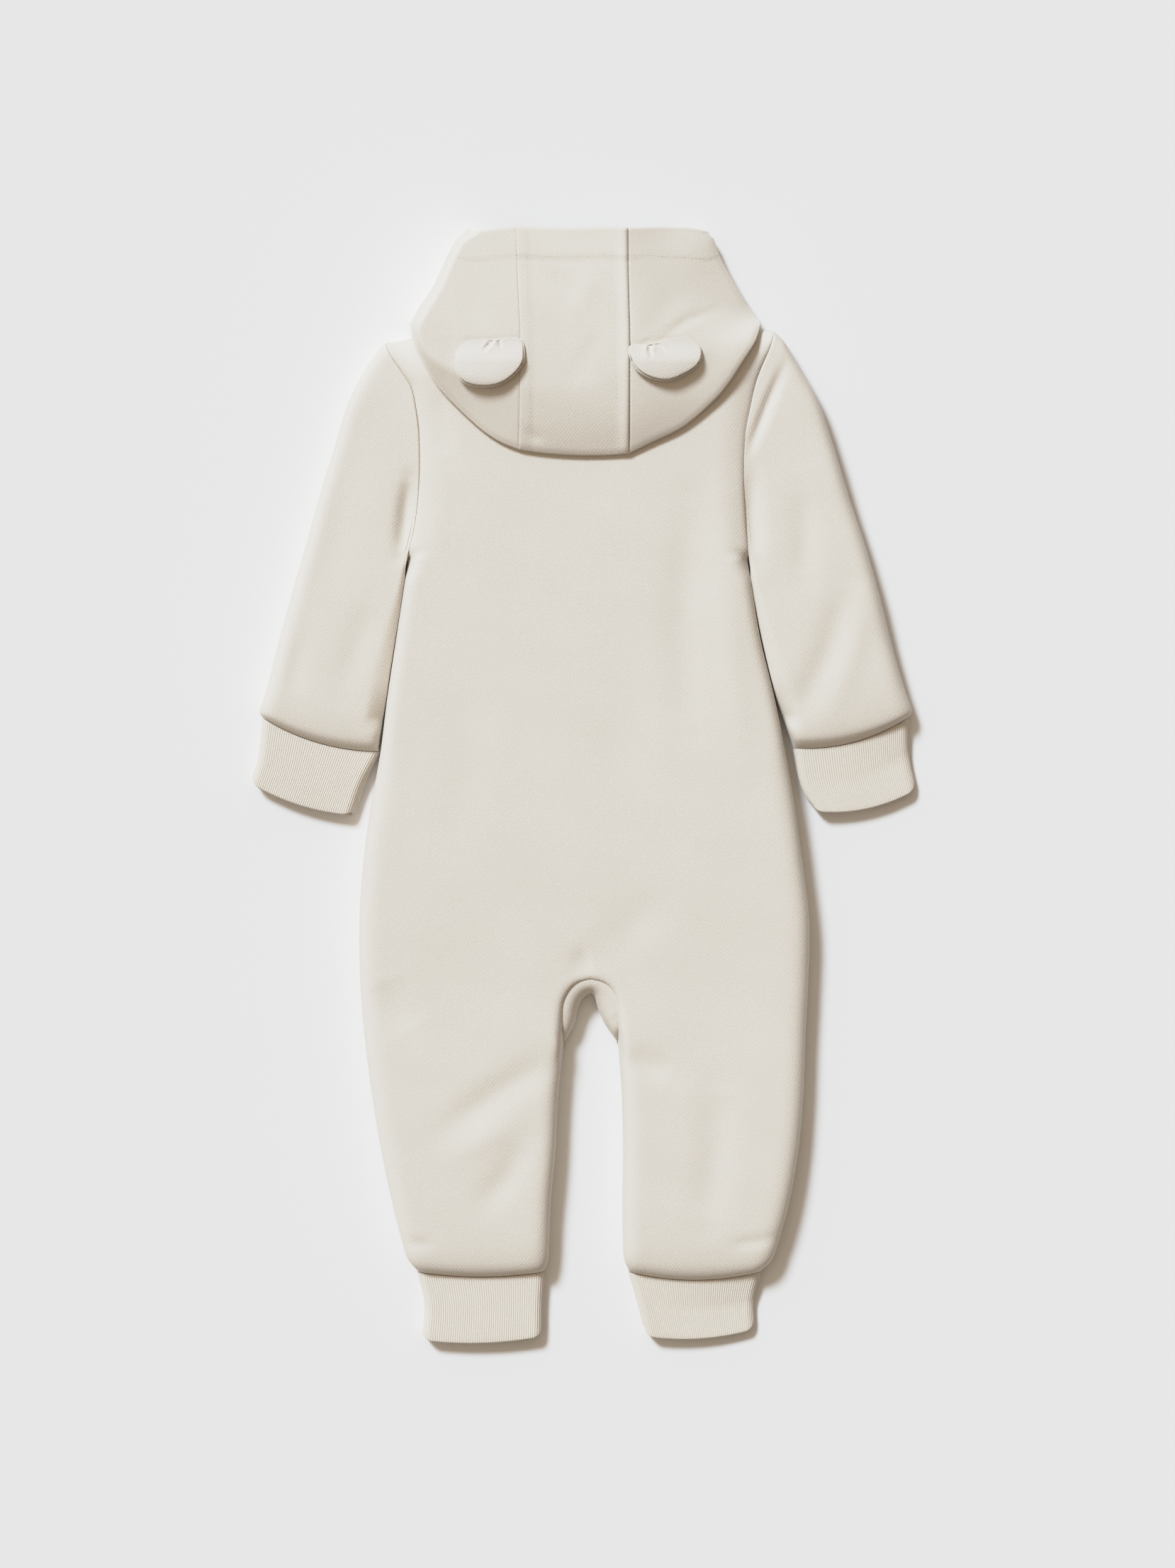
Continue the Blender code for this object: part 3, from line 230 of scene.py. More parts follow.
# Soft folds in the upper layers: three points of the line, its width, and its depth (a ridge's is below 0)
FOLDS = {
    "back": (
        (-89.0, 240.0, -86.5, 220.0, -82.5, 196.0, 7.0, 1.3),
        (84.7, 172.0, 90.0, 80.0, 99.0, 15.0, 9.0, -1.2),
        (64.0, 172.0, 61.0, 98.0, 64.5, 30.0, 12.0, 1.9),
        (-8.0, -106.0, -1.0, -108.5, 6.0, -107.0, 9.0, 1.4),
        (-20.0, -168.0, -50.0, -186.0, -86.0, -212.0, 9.0, 2.0),
        (-36.0, -217.0, -46.0, -238.0, -61.0, -256.0, 9.0, 1.7),
        (-40.0, -206.0, -58.0, -214.0, -76.0, -226.0, 8.0, -0.9),
        (-121.0, -118.0, -114.0, -135.0, -104.0, -150.0, 12.0, 1.6),
        (28.0, -163.0, 40.0, -170.0, 54.0, -176.0, 8.0, 1.7),
        (80.0, -185.0, 80.0, -225.0, 76.0, -266.0, 11.0, 1.8),
        (118.0, -275.0, 104.0, -277.5, 89.0, -279.5, 3.5, 1.0),
        (-92.0, -279.5, -98.0, -279.0, -108.0, -277.5, 3.5, 1.0),
        (-42.0, -58.0, -20.0, -72.0, 2.0, -92.0, 13.0, 0.9),
        (48.0, -70.0, 30.0, -86.0, 16.0, -104.0, 12.0, 0.8),
        (-75.0, 60.0, -70.0, 10.0, -78.0, -40.0, 16.0, 0.8),
        (20.0, 120.0, 26.0, 40.0, 14.0, -20.0, 20.0, 0.6),
    ),
    "sleeve_left": (
        (-105.0, 184.0, -107.5, 162.0, -110.5, 138.0, 5.0, 4.2),
        (-140.0, 205.0, -147.0, 160.0, -158.0, 110.0, 14.0, 0.9),
        (-128.0, 110.0, -136.0, 85.0, -146.0, 55.0, 9.0, 1.1),
        (-170.0, 90.0, -174.0, 70.0, -176.0, 52.0, 7.0, 0.9),
    ),
    "sleeve_right": (
        (121.3, 252.0, 112.0, 230.0, 101.0, 202.0, 3.0, 3.0),
        (101.5, 190.0, 102.0, 165.0, 104.5, 136.0, 6.0, 3.0),
        (132.4, 178.0, 134.5, 150.0, 134.6, 124.0, 8.0, 1.4),
        (160.0, 121.0, 149.0, 80.0, 128.6, 36.0, 9.0, 1.9),
        (171.0, 112.0, 163.0, 80.0, 152.0, 44.0, 8.0, -0.9),
    ),
    "hood": (
        (-20.6, 311.0, -11.0, 304.0, -1.0, 293.0, 5.0, 0.7),
        (7.0, 312.0, 2.0, 300.0, -7.0, 284.0, 7.0, -0.5),
        (-27.0, 287.0, -14.0, 270.0, -4.0, 250.0, 7.0, 0.45),
        (12.0, 276.0, 4.0, 262.0, -8.0, 244.0, 6.0, 0.4),
        (48.0, 271.5, 63.0, 282.0, 84.0, 289.0, 3.2, 0.9),
        (38.0, 271.0, 47.0, 285.0, 58.0, 301.0, 8.0, 0.5),
        (-36.0, 216.0, -31.0, 211.5, -24.0, 209.0, 3.0, 0.8),
        (-82.0, 264.0, -79.0, 250.0, -68.0, 236.0, 7.0, 0.5),
        (-60.0, 276.0, -66.0, 290.0, -64.0, 306.0, 9.0, 0.4),
        (60.0, 243.0, 72.0, 247.0, 84.0, 262.0, 7.0, 0.5),
    ),
}


def middle(y):
    """X of the garment's middle line."""
    return CROTCH_MIDDLE * step((NECK_TOP - y) / (NECK_TOP - CROTCH))


def folds_at(piece, x, y):
    """Depth of the piece's soft folds, which run out towards their ends."""
    depth = np.zeros(np.broadcast(x, y).shape)
    for x0, y0, x1, y1, x2, y2, width, deep in FOLDS[piece]:
        near, along = np.full(depth.shape, 1e9), np.zeros(depth.shape)
        for part, (ax, ay, bx, by) in enumerate(((x0, y0, x1, y1), (x1, y1, x2, y2))):
            dx, dy = bx - ax, by - ay
            t = clip(((x - ax) * dx + (y - ay) * dy) / (dx * dx + dy * dy))
            away = np.hypot(x - ax - t * dx, y - ay - t * dy)
            along = np.where(away < near, (part + t) / 2, along)
            near = np.minimum(near, away)
        taper = np.sin(np.pi * np.clip(along, 0.04, 0.96)) ** 0.6
        depth += deep * taper * bell(near / width)
    return depth


RIPPLE_WAVES = 7
RIPPLE_DRAWS = ((0, math.tau), (0, math.tau), (0.7, 1.6))
RIPPLE_EVEN = 4.0


def ripple(x, y, size, seed):
    """Gentle unevenness between about -1 and 1, with waves about as long as size."""
    random = np.random.default_rng(seed)
    total = 0.0
    for _ in range(RIPPLE_WAVES):
        turn, phase, scale = (random.uniform(*limits) for limits in RIPPLE_DRAWS)
        total = total + np.sin(math.tau * (x * math.cos(turn) + y * math.sin(turn)) / (size * scale) + phase)
    return total / RIPPLE_EVEN


def graded(length, fine=(0.5, 0.5), coarse=2.5, growth=1.5):
    """Fractions along a length: close together at its ends and about coarse apart between them."""
    def ramp(gap):
        found = [0.0]
        while gap < coarse:
            found.append(found[-1] + gap)
            gap *= growth
        return np.array(found)

    head, tail = ramp(fine[0]), ramp(fine[1])
    room = length - head[-1] - tail[-1]
    if room <= coarse:
        return np.linspace(0.0, 1.0, max(4, round(length / coarse * 2)))
    count = max(1, round(room / coarse))
    between = head[-1] + room * np.arange(1, count) / count
    return np.concatenate([head, between, length - tail[::-1]]) / length


def between(a, b, c, d, t):
    """A point on the smooth curve from b to c, whose neighbours are a and d."""
    return b + (c - a) * t / 2 + (2 * a - 5 * b + 4 * c - d) * t**2 / 2 + (3 * b - a - 3 * c + d) * t**3 / 2


def smooth_path(corners, count):
    """An evenly numbered smooth curve through an open row of points of any dimension."""
    corners = np.array(corners, float)
    ends = np.concatenate([[2 * corners[0] - corners[1]], corners, [2 * corners[-1] - corners[-2]]])
    place = np.linspace(0, len(corners) - 1, count)
    i = np.minimum(place.astype(int), len(corners) - 2)
    return between(ends[i], ends[i + 1], ends[i + 2], ends[i + 3], (place - i)[:, None])


def closed_path(corners, count):
    """An evenly numbered smooth loop through the corners."""
    corners = np.array(corners, float)
    place = np.arange(count) / count * len(corners)
    i = place.astype(int)
    a, b, c, d = (corners[(i + n) % len(corners)] for n in (-1, 0, 1, 2))
    return between(a, b, c, d, (place - i)[:, None])


def away_from(line, x, y):
    """Distance from a polyline, and the place along it in points."""
    line = np.asarray(line, float)
    spots = np.stack([np.ravel(x), np.ravel(y)], -1)
    near, place = np.full(len(spots), 1e9), np.zeros(len(spots))
    for k, (start, end) in enumerate(zip(line[:-1, :2], line[1:, :2])):
        along = end - start
        t = clip((spots - start) @ along / max(along @ along, 1e-9))
        away = np.linalg.norm(spots - start - t[:, None] * along, axis=1)
        closer = away < near
        near, place = np.where(closer, away, near), np.where(closer, k + t, place)
    return near.reshape(np.shape(x)), place.reshape(np.shape(x))


# Cloth as a mesh --------------------------------------------------------------------------


WELD = 0.004
SHARP_ANGLE = math.radians(60)


class Cloth:
    """Grids of points that are joined where their points meet, and then given a wall."""

    def __init__(self):
        self.points, self.uvs, self.faces, self.count = [], [], [], 0

    def add(self, points, turned=False, ring=False):
        """Adds a grid. Unturned, it faces up where its rows run to +X and follow to +Y."""
        rows, columns = points.shape[:2]
        index = self.count + np.arange(rows * columns).reshape(rows, columns)
        if ring:
            index = np.concatenate([index, index[:, :1]], axis=1)
        quads = np.stack([index[:-1, :-1], index[:-1, 1:], index[1:, 1:], index[1:, :-1]], -1).reshape(-1, 4)
        self.faces.append(quads[:, ::-1] if turned else quads)
        across = np.cumsum(np.linalg.norm(np.diff(points, axis=1, prepend=points[:, :1]), axis=2), axis=1)
        down = np.cumsum(np.linalg.norm(np.diff(points, axis=0, prepend=points[:1]), axis=2), axis=0)
        across -= across[:, columns // 2, None] if not ring else 0.0
        self.points.append(points.reshape(-1, 3))
        self.uvs.append(np.stack([across, down[:, columns // 2, None] + 0 * across], -1).reshape(-1, 2))
        self.count += rows * columns

    def weld(self):
        """Points, their cloth places, and faces, with points that meet made one."""
        points, uvs, faces = map(np.concatenate, (self.points, self.uvs, self.faces))
        spots = np.round(points / WELD).astype(int)
        _, first, number = np.unique(spots, axis=0, return_index=True, return_inverse=True)
        faces = number.reshape(-1)[faces]
        pairs = ((0, 1), (1, 2), (2, 3), (3, 0), (0, 2), (1, 3))
        whole = np.all([faces[:, a] != faces[:, b] for a, b in pairs], axis=0)
        found = [tuple(face) for face in faces[whole]]
        for face in faces[~whole]:
            corners = [c for k, c in enumerate(face) if c not in face[:k]]
            if len(corners) > 2:
                found.append(tuple(corners))
        return points[first], uvs[first], found

    def make(self, name, wall):
        """The cloth as an object: a closed wall that lies inside its outer surface."""
        points, uvs, faces = self.weld()
        normals = np.zeros(points.shape)
        ends = []
        for face in faces:
            corners = points[list(face)]
            normal = np.cross(corners[1] - corners[0], corners[2] - corners[0])
            if len(face) == 4:
                normal += np.cross(corners[2] - corners[0], corners[3] - corners[0])
            normals[list(face)] += normal
            ends += [(face[k - 1], face[k]) for k in range(len(face))]
        normals /= np.maximum(np.linalg.norm(normals, axis=1), 1e-9)[:, None]
        there = set(ends)
        rim = [end for end in ends if end[::-1] not in there]
        count = len(points)
        inner = points - normals * wall
        solid = faces + [tuple(c + count for c in reversed(face)) for face in faces]
        solid += [(b, a, a + count, b + count) for a, b in rim]
        return make_object(name, np.concatenate([points, inner]), solid, np.concatenate([uvs, uvs]))

    def close(self, name):
        """The cloth as an object, where its grids already shut on themselves."""
        points, uvs, faces = self.weld()
        return make_object(name, points, faces, uvs)


def put(name, data):
    """A new object in the scene."""
    made = bpy.data.objects.new(name, data)
    bpy.context.scene.collection.objects.link(made)
    return made


def make_object(name, points, faces, uvs):
    mesh = bpy.data.meshes.new(name)
    mesh.from_pydata((np.asarray(points) * MM).tolist(), [], [tuple(int(c) for c in face) for face in faces])
    corners = np.empty(len(mesh.loops), np.int32)
    mesh.loops.foreach_get("vertex_index", corners)
    layer = mesh.uv_layers.new(name="cloth")
    layer.data.foreach_set("uv", (uvs[corners] * MM).astype(np.float32).ravel())
    mesh.shade_smooth()
    mesh.set_sharp_from_angle(angle=SHARP_ANGLE)
    return put(name, mesh)


def surface_of(name):
    """The surface of an object that is made already, in millimetres, to look down on."""
    mesh = bpy.data.objects[name].data
    points = [vertex.co / MM for vertex in mesh.vertices]
    return BVHTree.FromPolygons(points, [list(face.vertices) for face in mesh.polygons])


def finish_piece(made, node, finish):
    made.data.materials.clear()
    made.data.materials.append(finish)
    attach(made, "root")
    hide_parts(node)


# Materials --------------------------------------------------------------------------------


class Nodes:
    """Adds and joins the nodes of one tree."""

    def __init__(self, tree):
        self.tree = tree

    def add(self, kind, values=(), **settings):
        node = self.tree.nodes.new(kind)
        for key, value in settings.items():
            setattr(node, key, value)
        return self.give(node, dict(values))

    def give(self, node, values):
        """Sets a node's inputs, and joins those that are given a socket."""
        for key, value in values.items():
            if isinstance(value, bpy.types.NodeSocket):
                self.tree.links.new(value, node.inputs[key])
            else:
                node.inputs[key].default_value = value
        return node

    def math(self, operation, a, b=0.0, c=0.0):
        return self.add("ShaderNodeMath", {0: a, 1: b, 2: c}, operation=operation).outputs[0]


def group_tree(name, kind, inputs, outputs):
    """A new node group with named sockets, its nodes, and the nodes for what it is given and puts out."""
    tree = bpy.data.node_groups.new(name, kind)
    for label, socket_kind, value in inputs:
        socket = tree.interface.new_socket(label, in_out="INPUT", socket_type=socket_kind)
        if value is not None:
            socket.default_value = value
    for label, socket_kind in outputs:
        tree.interface.new_socket(label, in_out="OUTPUT", socket_type=socket_kind)
    nodes = Nodes(tree)
    return tree, nodes, nodes.add("NodeGroupInput").outputs, nodes.add("NodeGroupOutput")


# How much the weave's lines, the cloudy toning and the nap darken the cloth, and where that starts
LINE_SHADE, CLOUD_SHADE, NAP_SHADE, SHADE_START = -0.6, 0.35, 1.8, 0.57
# Sizes of the noises, in waves to a metre
WANDER_SCALE, BREAK_SCALE, NAP_SCALE, CLOUD_SCALE, GRAIN_SCALE = 220.0, 900.0, 1300.0, 35.0, 2500.0
WANDER = 0.0006
RAISED = 0.0006


def brushed_cloth_group():
    """Fine slanted weave lines under a soft brushed nap, with faint cloudy toning."""
    found = bpy.data.node_groups.get("Brushed cloth")
    if found:
        return found
    tree, nodes, given, out = group_tree(
        "Brushed cloth", "ShaderNodeTree",
        (("Colour", "NodeSocketColor", (0.8, 0.8, 0.8, 1.0)),
        ("Shade", "NodeSocketColor", (0.6, 0.6, 0.6, 1.0)),
         ("Line pitch mm", "NodeSocketFloat", 1.5), ("Line turn", "NodeSocketFloat", 0.9),
         ("Line strength", "NodeSocketFloat", 0.4), ("Nap", "NodeSocketFloat", 0.6)),
        (("Colour", "NodeSocketColor"), ("Height", "NodeSocketFloat"), ("Roughness", "NodeSocketFloat")),
    )
    place = nodes.add("ShaderNodeTexCoord").outputs["Object"]
    turned = nodes.add("ShaderNodeVectorRotate", {"Vector": place, "Angle": given["Line turn"]},
                       rotation_type="Z_AXIS").outputs[0]
    stretched = nodes.add("ShaderNodeMapping", {"Vector": turned, "Scale": (1.0, 0.35, 1.0)}).outputs[0]
    wander, breaks, fluff, clouds = (
        nodes.add("ShaderNodeTexNoise", {"Vector": where, "Scale": scale, "Detail": detail}).outputs["Fac"]
        for where, scale, detail in ((place, WANDER_SCALE, 2.0), (stretched, BREAK_SCALE, 2.0),
                                     (place, NAP_SCALE, 3.0), (place, CLOUD_SCALE, 4.0))
    )
    split = nodes.add("ShaderNodeSeparateXYZ", {0: turned})
    across = nodes.math("MULTIPLY_ADD", wander, WANDER, split.outputs["X"])
    waves = nodes.math("DIVIDE", across, nodes.math("MULTIPLY", given["Line pitch mm"], MM))
    lines = nodes.math("SINE", nodes.math("MULTIPLY", waves, math.tau))
    line = nodes.math("MULTIPLY", nodes.math("MULTIPLY", lines, breaks), given["Line strength"])
    height = nodes.math("ADD", line, nodes.math("MULTIPLY", fluff, given["Nap"]))
    tone = nodes.math("MULTIPLY_ADD", line, LINE_SHADE, 0.0)
    tone = nodes.math("MULTIPLY_ADD", clouds, CLOUD_SHADE, tone)
    tone = nodes.math("MULTIPLY_ADD", fluff, NAP_SHADE, nodes.math("SUBTRACT", tone, SHADE_START))
    toned = nodes.add("ShaderNodeMix", {0: tone, 6: given["Colour"], 7: given["Shade"]}, data_type="RGBA")
    nodes.give(out, {"Colour": toned.outputs[2], "Height": height,
                     "Roughness": nodes.math("MULTIPLY_ADD", fluff, 0.15, 0.82)})
    return tree


def colour_of(name):
    """One of the colours that the panel shows, as a shader takes it."""
    return (*getattr(bpy.context.scene.overall_colours, name), 1.0)


def new_material(name):
    """A new material, the nodes of its tree and its shader."""
    made = bpy.data.materials.new(name)
    made.use_nodes = True
    return made, Nodes(made.node_tree), made.node_tree.nodes["Principled BSDF"]


# Each finish: its tone and the tone between its fibres, the lines' pitch in mm, their turn and strength, its nap,
# and how strongly these are raised
FINISHES = {
    "ear fleece": ("ear", "ear_shade", 1.6, 0.9, 0.2, 0.9, 0.35),
    "rib knit": ("rib", "rib_shade", 0.9, math.pi / 2, 0.3, 0.35, 0.25),
    "sewing thread": ("thread", "fleece_shade", 0.25, 0.6, 0.2, 0.2, 0.2),
}
# Which way the fleece's weave runs on each piece: the lines' pitch in mm and their turn in degrees
WEAVES = {
    "body": (1.62, 37.6), "sleeve left": (1.6, 52.0), "sleeve right": (1.57, 24.0),
    "hood center": (1.63, 39.5), "hood left": (1.63, 145.0), "hood right": (1.53, 124.0),
}
for weave, (weave_pitch, weave_turn) in WEAVES.items():
    FINISHES["fleece " + weave] = ("fleece", "fleece_shade", weave_pitch, math.radians(weave_turn), 0.17, 0.6, 0.35)


def cloth_material(name):
    """The material of one of the cloth finishes, made when it is first asked for."""
    found = bpy.data.materials.get(name)
    if found:
        return found
    tone, shade, pitch, turn, line, nap, raised = FINISHES[name]
    made, nodes, shader = new_material(name)
    cloth = nodes.add("ShaderNodeGroup", node_tree=brushed_cloth_group())
    nodes.give(cloth, {"Colour": colour_of(tone), "Shade": colour_of(shade), "Line pitch mm": pitch,
                       "Line turn": turn, "Line strength": line, "Nap": nap})
    bump = nodes.add("ShaderNodeBump", {"Height": cloth.outputs["Height"], "Strength": raised, "Distance": RAISED})
    nodes.give(shader, {"Base Color": cloth.outputs["Colour"], "Roughness": cloth.outputs["Roughness"],
                        "Normal": bump.outputs[0], "Sheen Weight": 0.25, "Sheen Roughness": 0.5,
                        "Specular IOR Level": 0.2})
    return made


def fleece(piece="body"):
    return cloth_material("fleece " + piece.replace("_", " "))


def stud_metal():
    found = bpy.data.materials.get("stud metal")
    if found:
        return found
    made, nodes, shader = new_material("stud metal")
    place = nodes.add("ShaderNodeTexCoord").outputs["Object"]
    grain = nodes.add("ShaderNodeTexNoise", {"Vector": place, "Scale": GRAIN_SCALE, "Detail": 2.0})
    nodes.give(shader, {"Metallic": 1.0, "Base Color": (0.62, 0.6, 0.57, 1.0),
                        "Roughness": nodes.math("MULTIPLY_ADD", grain.outputs["Fac"], 0.25, 0.22)})
    return made


# The body -----------------------------------------------------------------------------------


def shoulder_line(x, side):
    """Y of the shoulder seam, which falls from the neck point to the tip."""
    tip_x, tip_y = SHOULDER_TIPS[side]
    return mix(NECK_TOP, tip_y, clip((np.abs(x) - NECK_HALF) / (abs(tip_x) - NECK_HALF)))


def settle(x, y, side, low, high):
    """Y of a row's point, once the row follows the shoulder or the hem."""
    t = clip((x - low) / (high - low))
    fall = (shoulder_line(x, side) - NECK_TOP) * SHOULDER_FADE("share", y)
    return y + fall - HEM_BOW[side] * HEM_FADE("share", y) * 4 * t * (1 - t)


def upper_height(x, y, side):
    """Height of the back inside its shoulders."""
    fall = step((np.abs(x) - NECK_LEVEL_HALF) / (NECK_HALF - NECK_LEVEL_HALF))
    start = mix(NECK_HEIGHT, FOLD_HEIGHT, fall)
    rise = roll((shoulder_line(x, side) - y) / SHOULDER_ROLL)
    return mix(start, LOFT("height", y), rise)


def armhole_height(y, side):
    tip = shoulder_line(ARMHOLES(SIDE_NAMES[side], y), side)
    from_tip = mix(FOLD_HEIGHT, SLEEVE_HEIGHT, tight_roll((tip - y) / SLEEVE_EDGE))
    from_pit = mix(PIT_HEIGHT, SLEEVE_HEIGHT, tight_roll((y - UNDERARM) / (PIT_SHARE * SLEEVE_EDGE)))
    return np.minimum(from_tip, from_pit)


def side_seam(y, side):
    """X of the body's edge at a row, and how far its side is shut there: 1 well below the underarm."""
    name = SIDE_NAMES[side]
    shut = step((UNDERARM - y) / CLOSING)
    armhole = ARMHOLES(name, y)
    return (mix(armhole, SIDES(name, y), shut) if y < UNDERARM else armhole), shut


ARCH_MIDDLE = 120
ARCH_COUNT = 2 * ARCH_MIDDLE + 1


def arch_at(curve, y, side):
    """X and height of a gusset edge at one side and row."""
    half = curve[:ARCH_MIDDLE + 1] if side < 0 else curve[ARCH_MIDDLE:][::-1]
    return np.interp(y, half[:, 1], half[:, 0]), np.interp(y, half[:, 1], half[:, 2])


# Shares of a row's width that its rounded sides take up
OUTER_SHARE = 0.21
INNER_SHARE = 0.157
CREST_WIDTH = 73.0
ARCH_DEPTH = 14.0
# A seam's edge turns down by SEAM_TURN and lies lower by SEAM_DIP over SEAM_ROUND, or ARCH_ROUND at the gusset
SEAM_TURN = 2.2
SEAM_DIP = 1.3
SEAM_ROUND = 2.6
ARCH_ROUND = 1.4
ARCH_DIP = 0.8 * SEAM_DIP
FLANK_ROLL = 9.0
FLANK_FADE = 30.0
LEG_FADE = 20.0
CURL_STEPS = 4
CURL_ANGLES = np.radians(np.linspace(125.0, 90.0, CURL_STEPS + 1))[:-1]
CURL_DROPS = np.linspace(SEAM_TURN, 0.0, CURL_STEPS + 1)[:-1]
LEAST_HEIGHT = 0.2
# Where the front's middle meets the gusset, below the back's
FRONT_DROP = -9.3
FRONT_DROP_FADE = 30.0
FRONT_ANGLES = np.radians(np.array([125.0, 135.0, 145.0, 155.0, 167.0, 180.0]))
FRONT_STEPS = len(FRONT_ANGLES)
FRONT_FLAT = np.linspace(0.0, 1.0, 22)[1:-1]


def across_shares(spacing):
    """Where a row's points lie from the side to the middle or inseam, as shares of its width."""
    def quarter(count):
        return 1 - np.cos(np.linspace(0, math.pi / 2, count + 1))

    level = np.linspace(OUTER_SHARE, 1 - INNER_SHARE, round(CREST_WIDTH / spacing) + 1)[1:-1]
    return np.concatenate([OUTER_SHARE * quarter(10), level, 1 - INNER_SHARE * quarter(8)[::-1]])


def body_rows(spacing):
    """Rows down the body, closer together at the shoulders, the gusset and the hem."""
    top = NECK_TOP - (NECK_TOP - CROTCH) * graded(NECK_TOP - CROTCH, (0.6, 1.2), spacing)
    arch = CROTCH - ARCH_DEPTH * (1 - np.cos(np.linspace(0, math.pi / 2, 10)))[1:]
    legs = arch[-1] - (arch[-1] - HEM) * graded(arch[-1] - HEM, (1.5, 0.6), spacing)[1:]
    return np.concatenate([top, arch, legs])


def curl_under(x, y, height, waist, inward, shut):
    """Points below a seam's edge: straight down where it is open, and round to the front where it is shut."""
    x_here = x + inward * (1 - np.sin(CURL_ANGLES)) * shut
    z = mix(height - SEAM_DIP - CURL_DROPS, waist * (1 + np.cos(CURL_ANGLES)), shut)
    return np.stack([x_here, np.full(CURL_STEPS, y), np.maximum(z, LEAST_HEIGHT)], -1)


def back_half(side, spacing):
    """Points of one half of the back, from its side seam to the middle line or the inseam seam."""
    shares, arch = across_shares(spacing), smooth_path(ARCH_BACK, ARCH_COUNT)
    grid = []
    for y in body_rows(spacing):
        height, width = LOFT("height", y), LOFT("roll", y)
        waist = WAIST_SHARE * height
        low = side * min(LOW_ROLL, waist)
        edge, closed = side_seam(y, side)
        if y >= CROTCH:
            end, end_height, shut = middle(y), height, 0.0
        elif y >= INSEAM_TOP:
            (end, end_height), shut = arch_at(arch, y, side), 0.0
        else:
            end, end_height = INSEAMS(SIDE_NAMES[side], y), FOLD_HEIGHT
            shut = step((INSEAM_TOP - y) / CLOSING)
        x = mix(edge, end, shares)
        outer_away, inner_away = np.abs(x - edge), np.abs(x - end)
        y_here = settle(x, y, side, *sorted((edge, end)))
        if y > UNDERARM:
            top = upper_height(x, y_here, side)
            edge_height = armhole_height(y_here[0], side)
            share = (1 - clip(outer_away / width)) ** 2
            z = np.minimum(mix(top, edge_height, share), np.maximum(top, edge_height))
        else:
            rim = armhole_height(y, side)
            width = mix(width, FLANK_ROLL, step(y / FLANK_FADE))
            opened = mix(rim, height, eased(outer_away / width))
            z = mix(opened, mix(waist, height, tight_roll(outer_away / width)), closed)
            edge_height = mix(rim, waist, closed)
        z = z - (1 - closed) * SEAM_DIP * (1 - roll(outer_away / SEAM_ROUND)) * (y < NECK_TOP - 1)
        if y < CROTCH + 2 * ARCH_ROLL:
            # Round the gusset's arch the edge is as high as the seam, and a leg's inner side is rolled below it
            from_arch, place = away_from(arch, x, y_here) if shut == 0 else (inner_away, 0 * x)
            rim = np.interp(place, np.arange(len(arch)), arch[:, 2]) if shut == 0 else end_height
            opened = mix(rim, height, eased(from_arch / ARCH_ROLL))
            opened = opened - ARCH_DIP * (1 - roll(from_arch / ARCH_ROUND))
            narrow = min(width, mix(INSEAM_ROLL, LEG_ROLL, step((y - INSEAM_TOP) / LEG_FADE)))
            z = np.minimum(z, mix(opened, mix(waist, height, tight_roll(inner_away / narrow)), shut))
        clear = step((z / height - 0.5) / 0.35)
        z = z - folds_at("back", x, y_here) * clear + 0.25 * ripple(x, y_here, 55.0, 3) * clear
        row = np.stack([x, y_here, z], -1)
        outer = curl_under(edge, y_here[0], edge_height, waist, -low, closed)
        if y < CROTCH:
            inner = curl_under(end, y_here[-1], end_height, waist, low, shut)[::-1]
        else:
            inner = np.repeat(row[-1:], CURL_STEPS, axis=0)
            if y == CROTCH:
                inner[:, 2] = (row[-1, 2] - CURL_DROPS)[::-1]
        grid.append(np.concatenate([outer, row, inner]))
    return np.array(grid)


def front_roll(x, inward, opened, waist, shut):
    """X and height of a front's edge, from the seam to where the cloth lies flat."""
    low = abs(inward)
    across = mix(np.linspace(0, low, FRONT_STEPS), low * (1 - np.sin(FRONT_ANGLES)), shut)
    return x + math.copysign(1.0, inward) * across, mix(opened, waist * (1 + np.cos(FRONT_ANGLES)), shut)


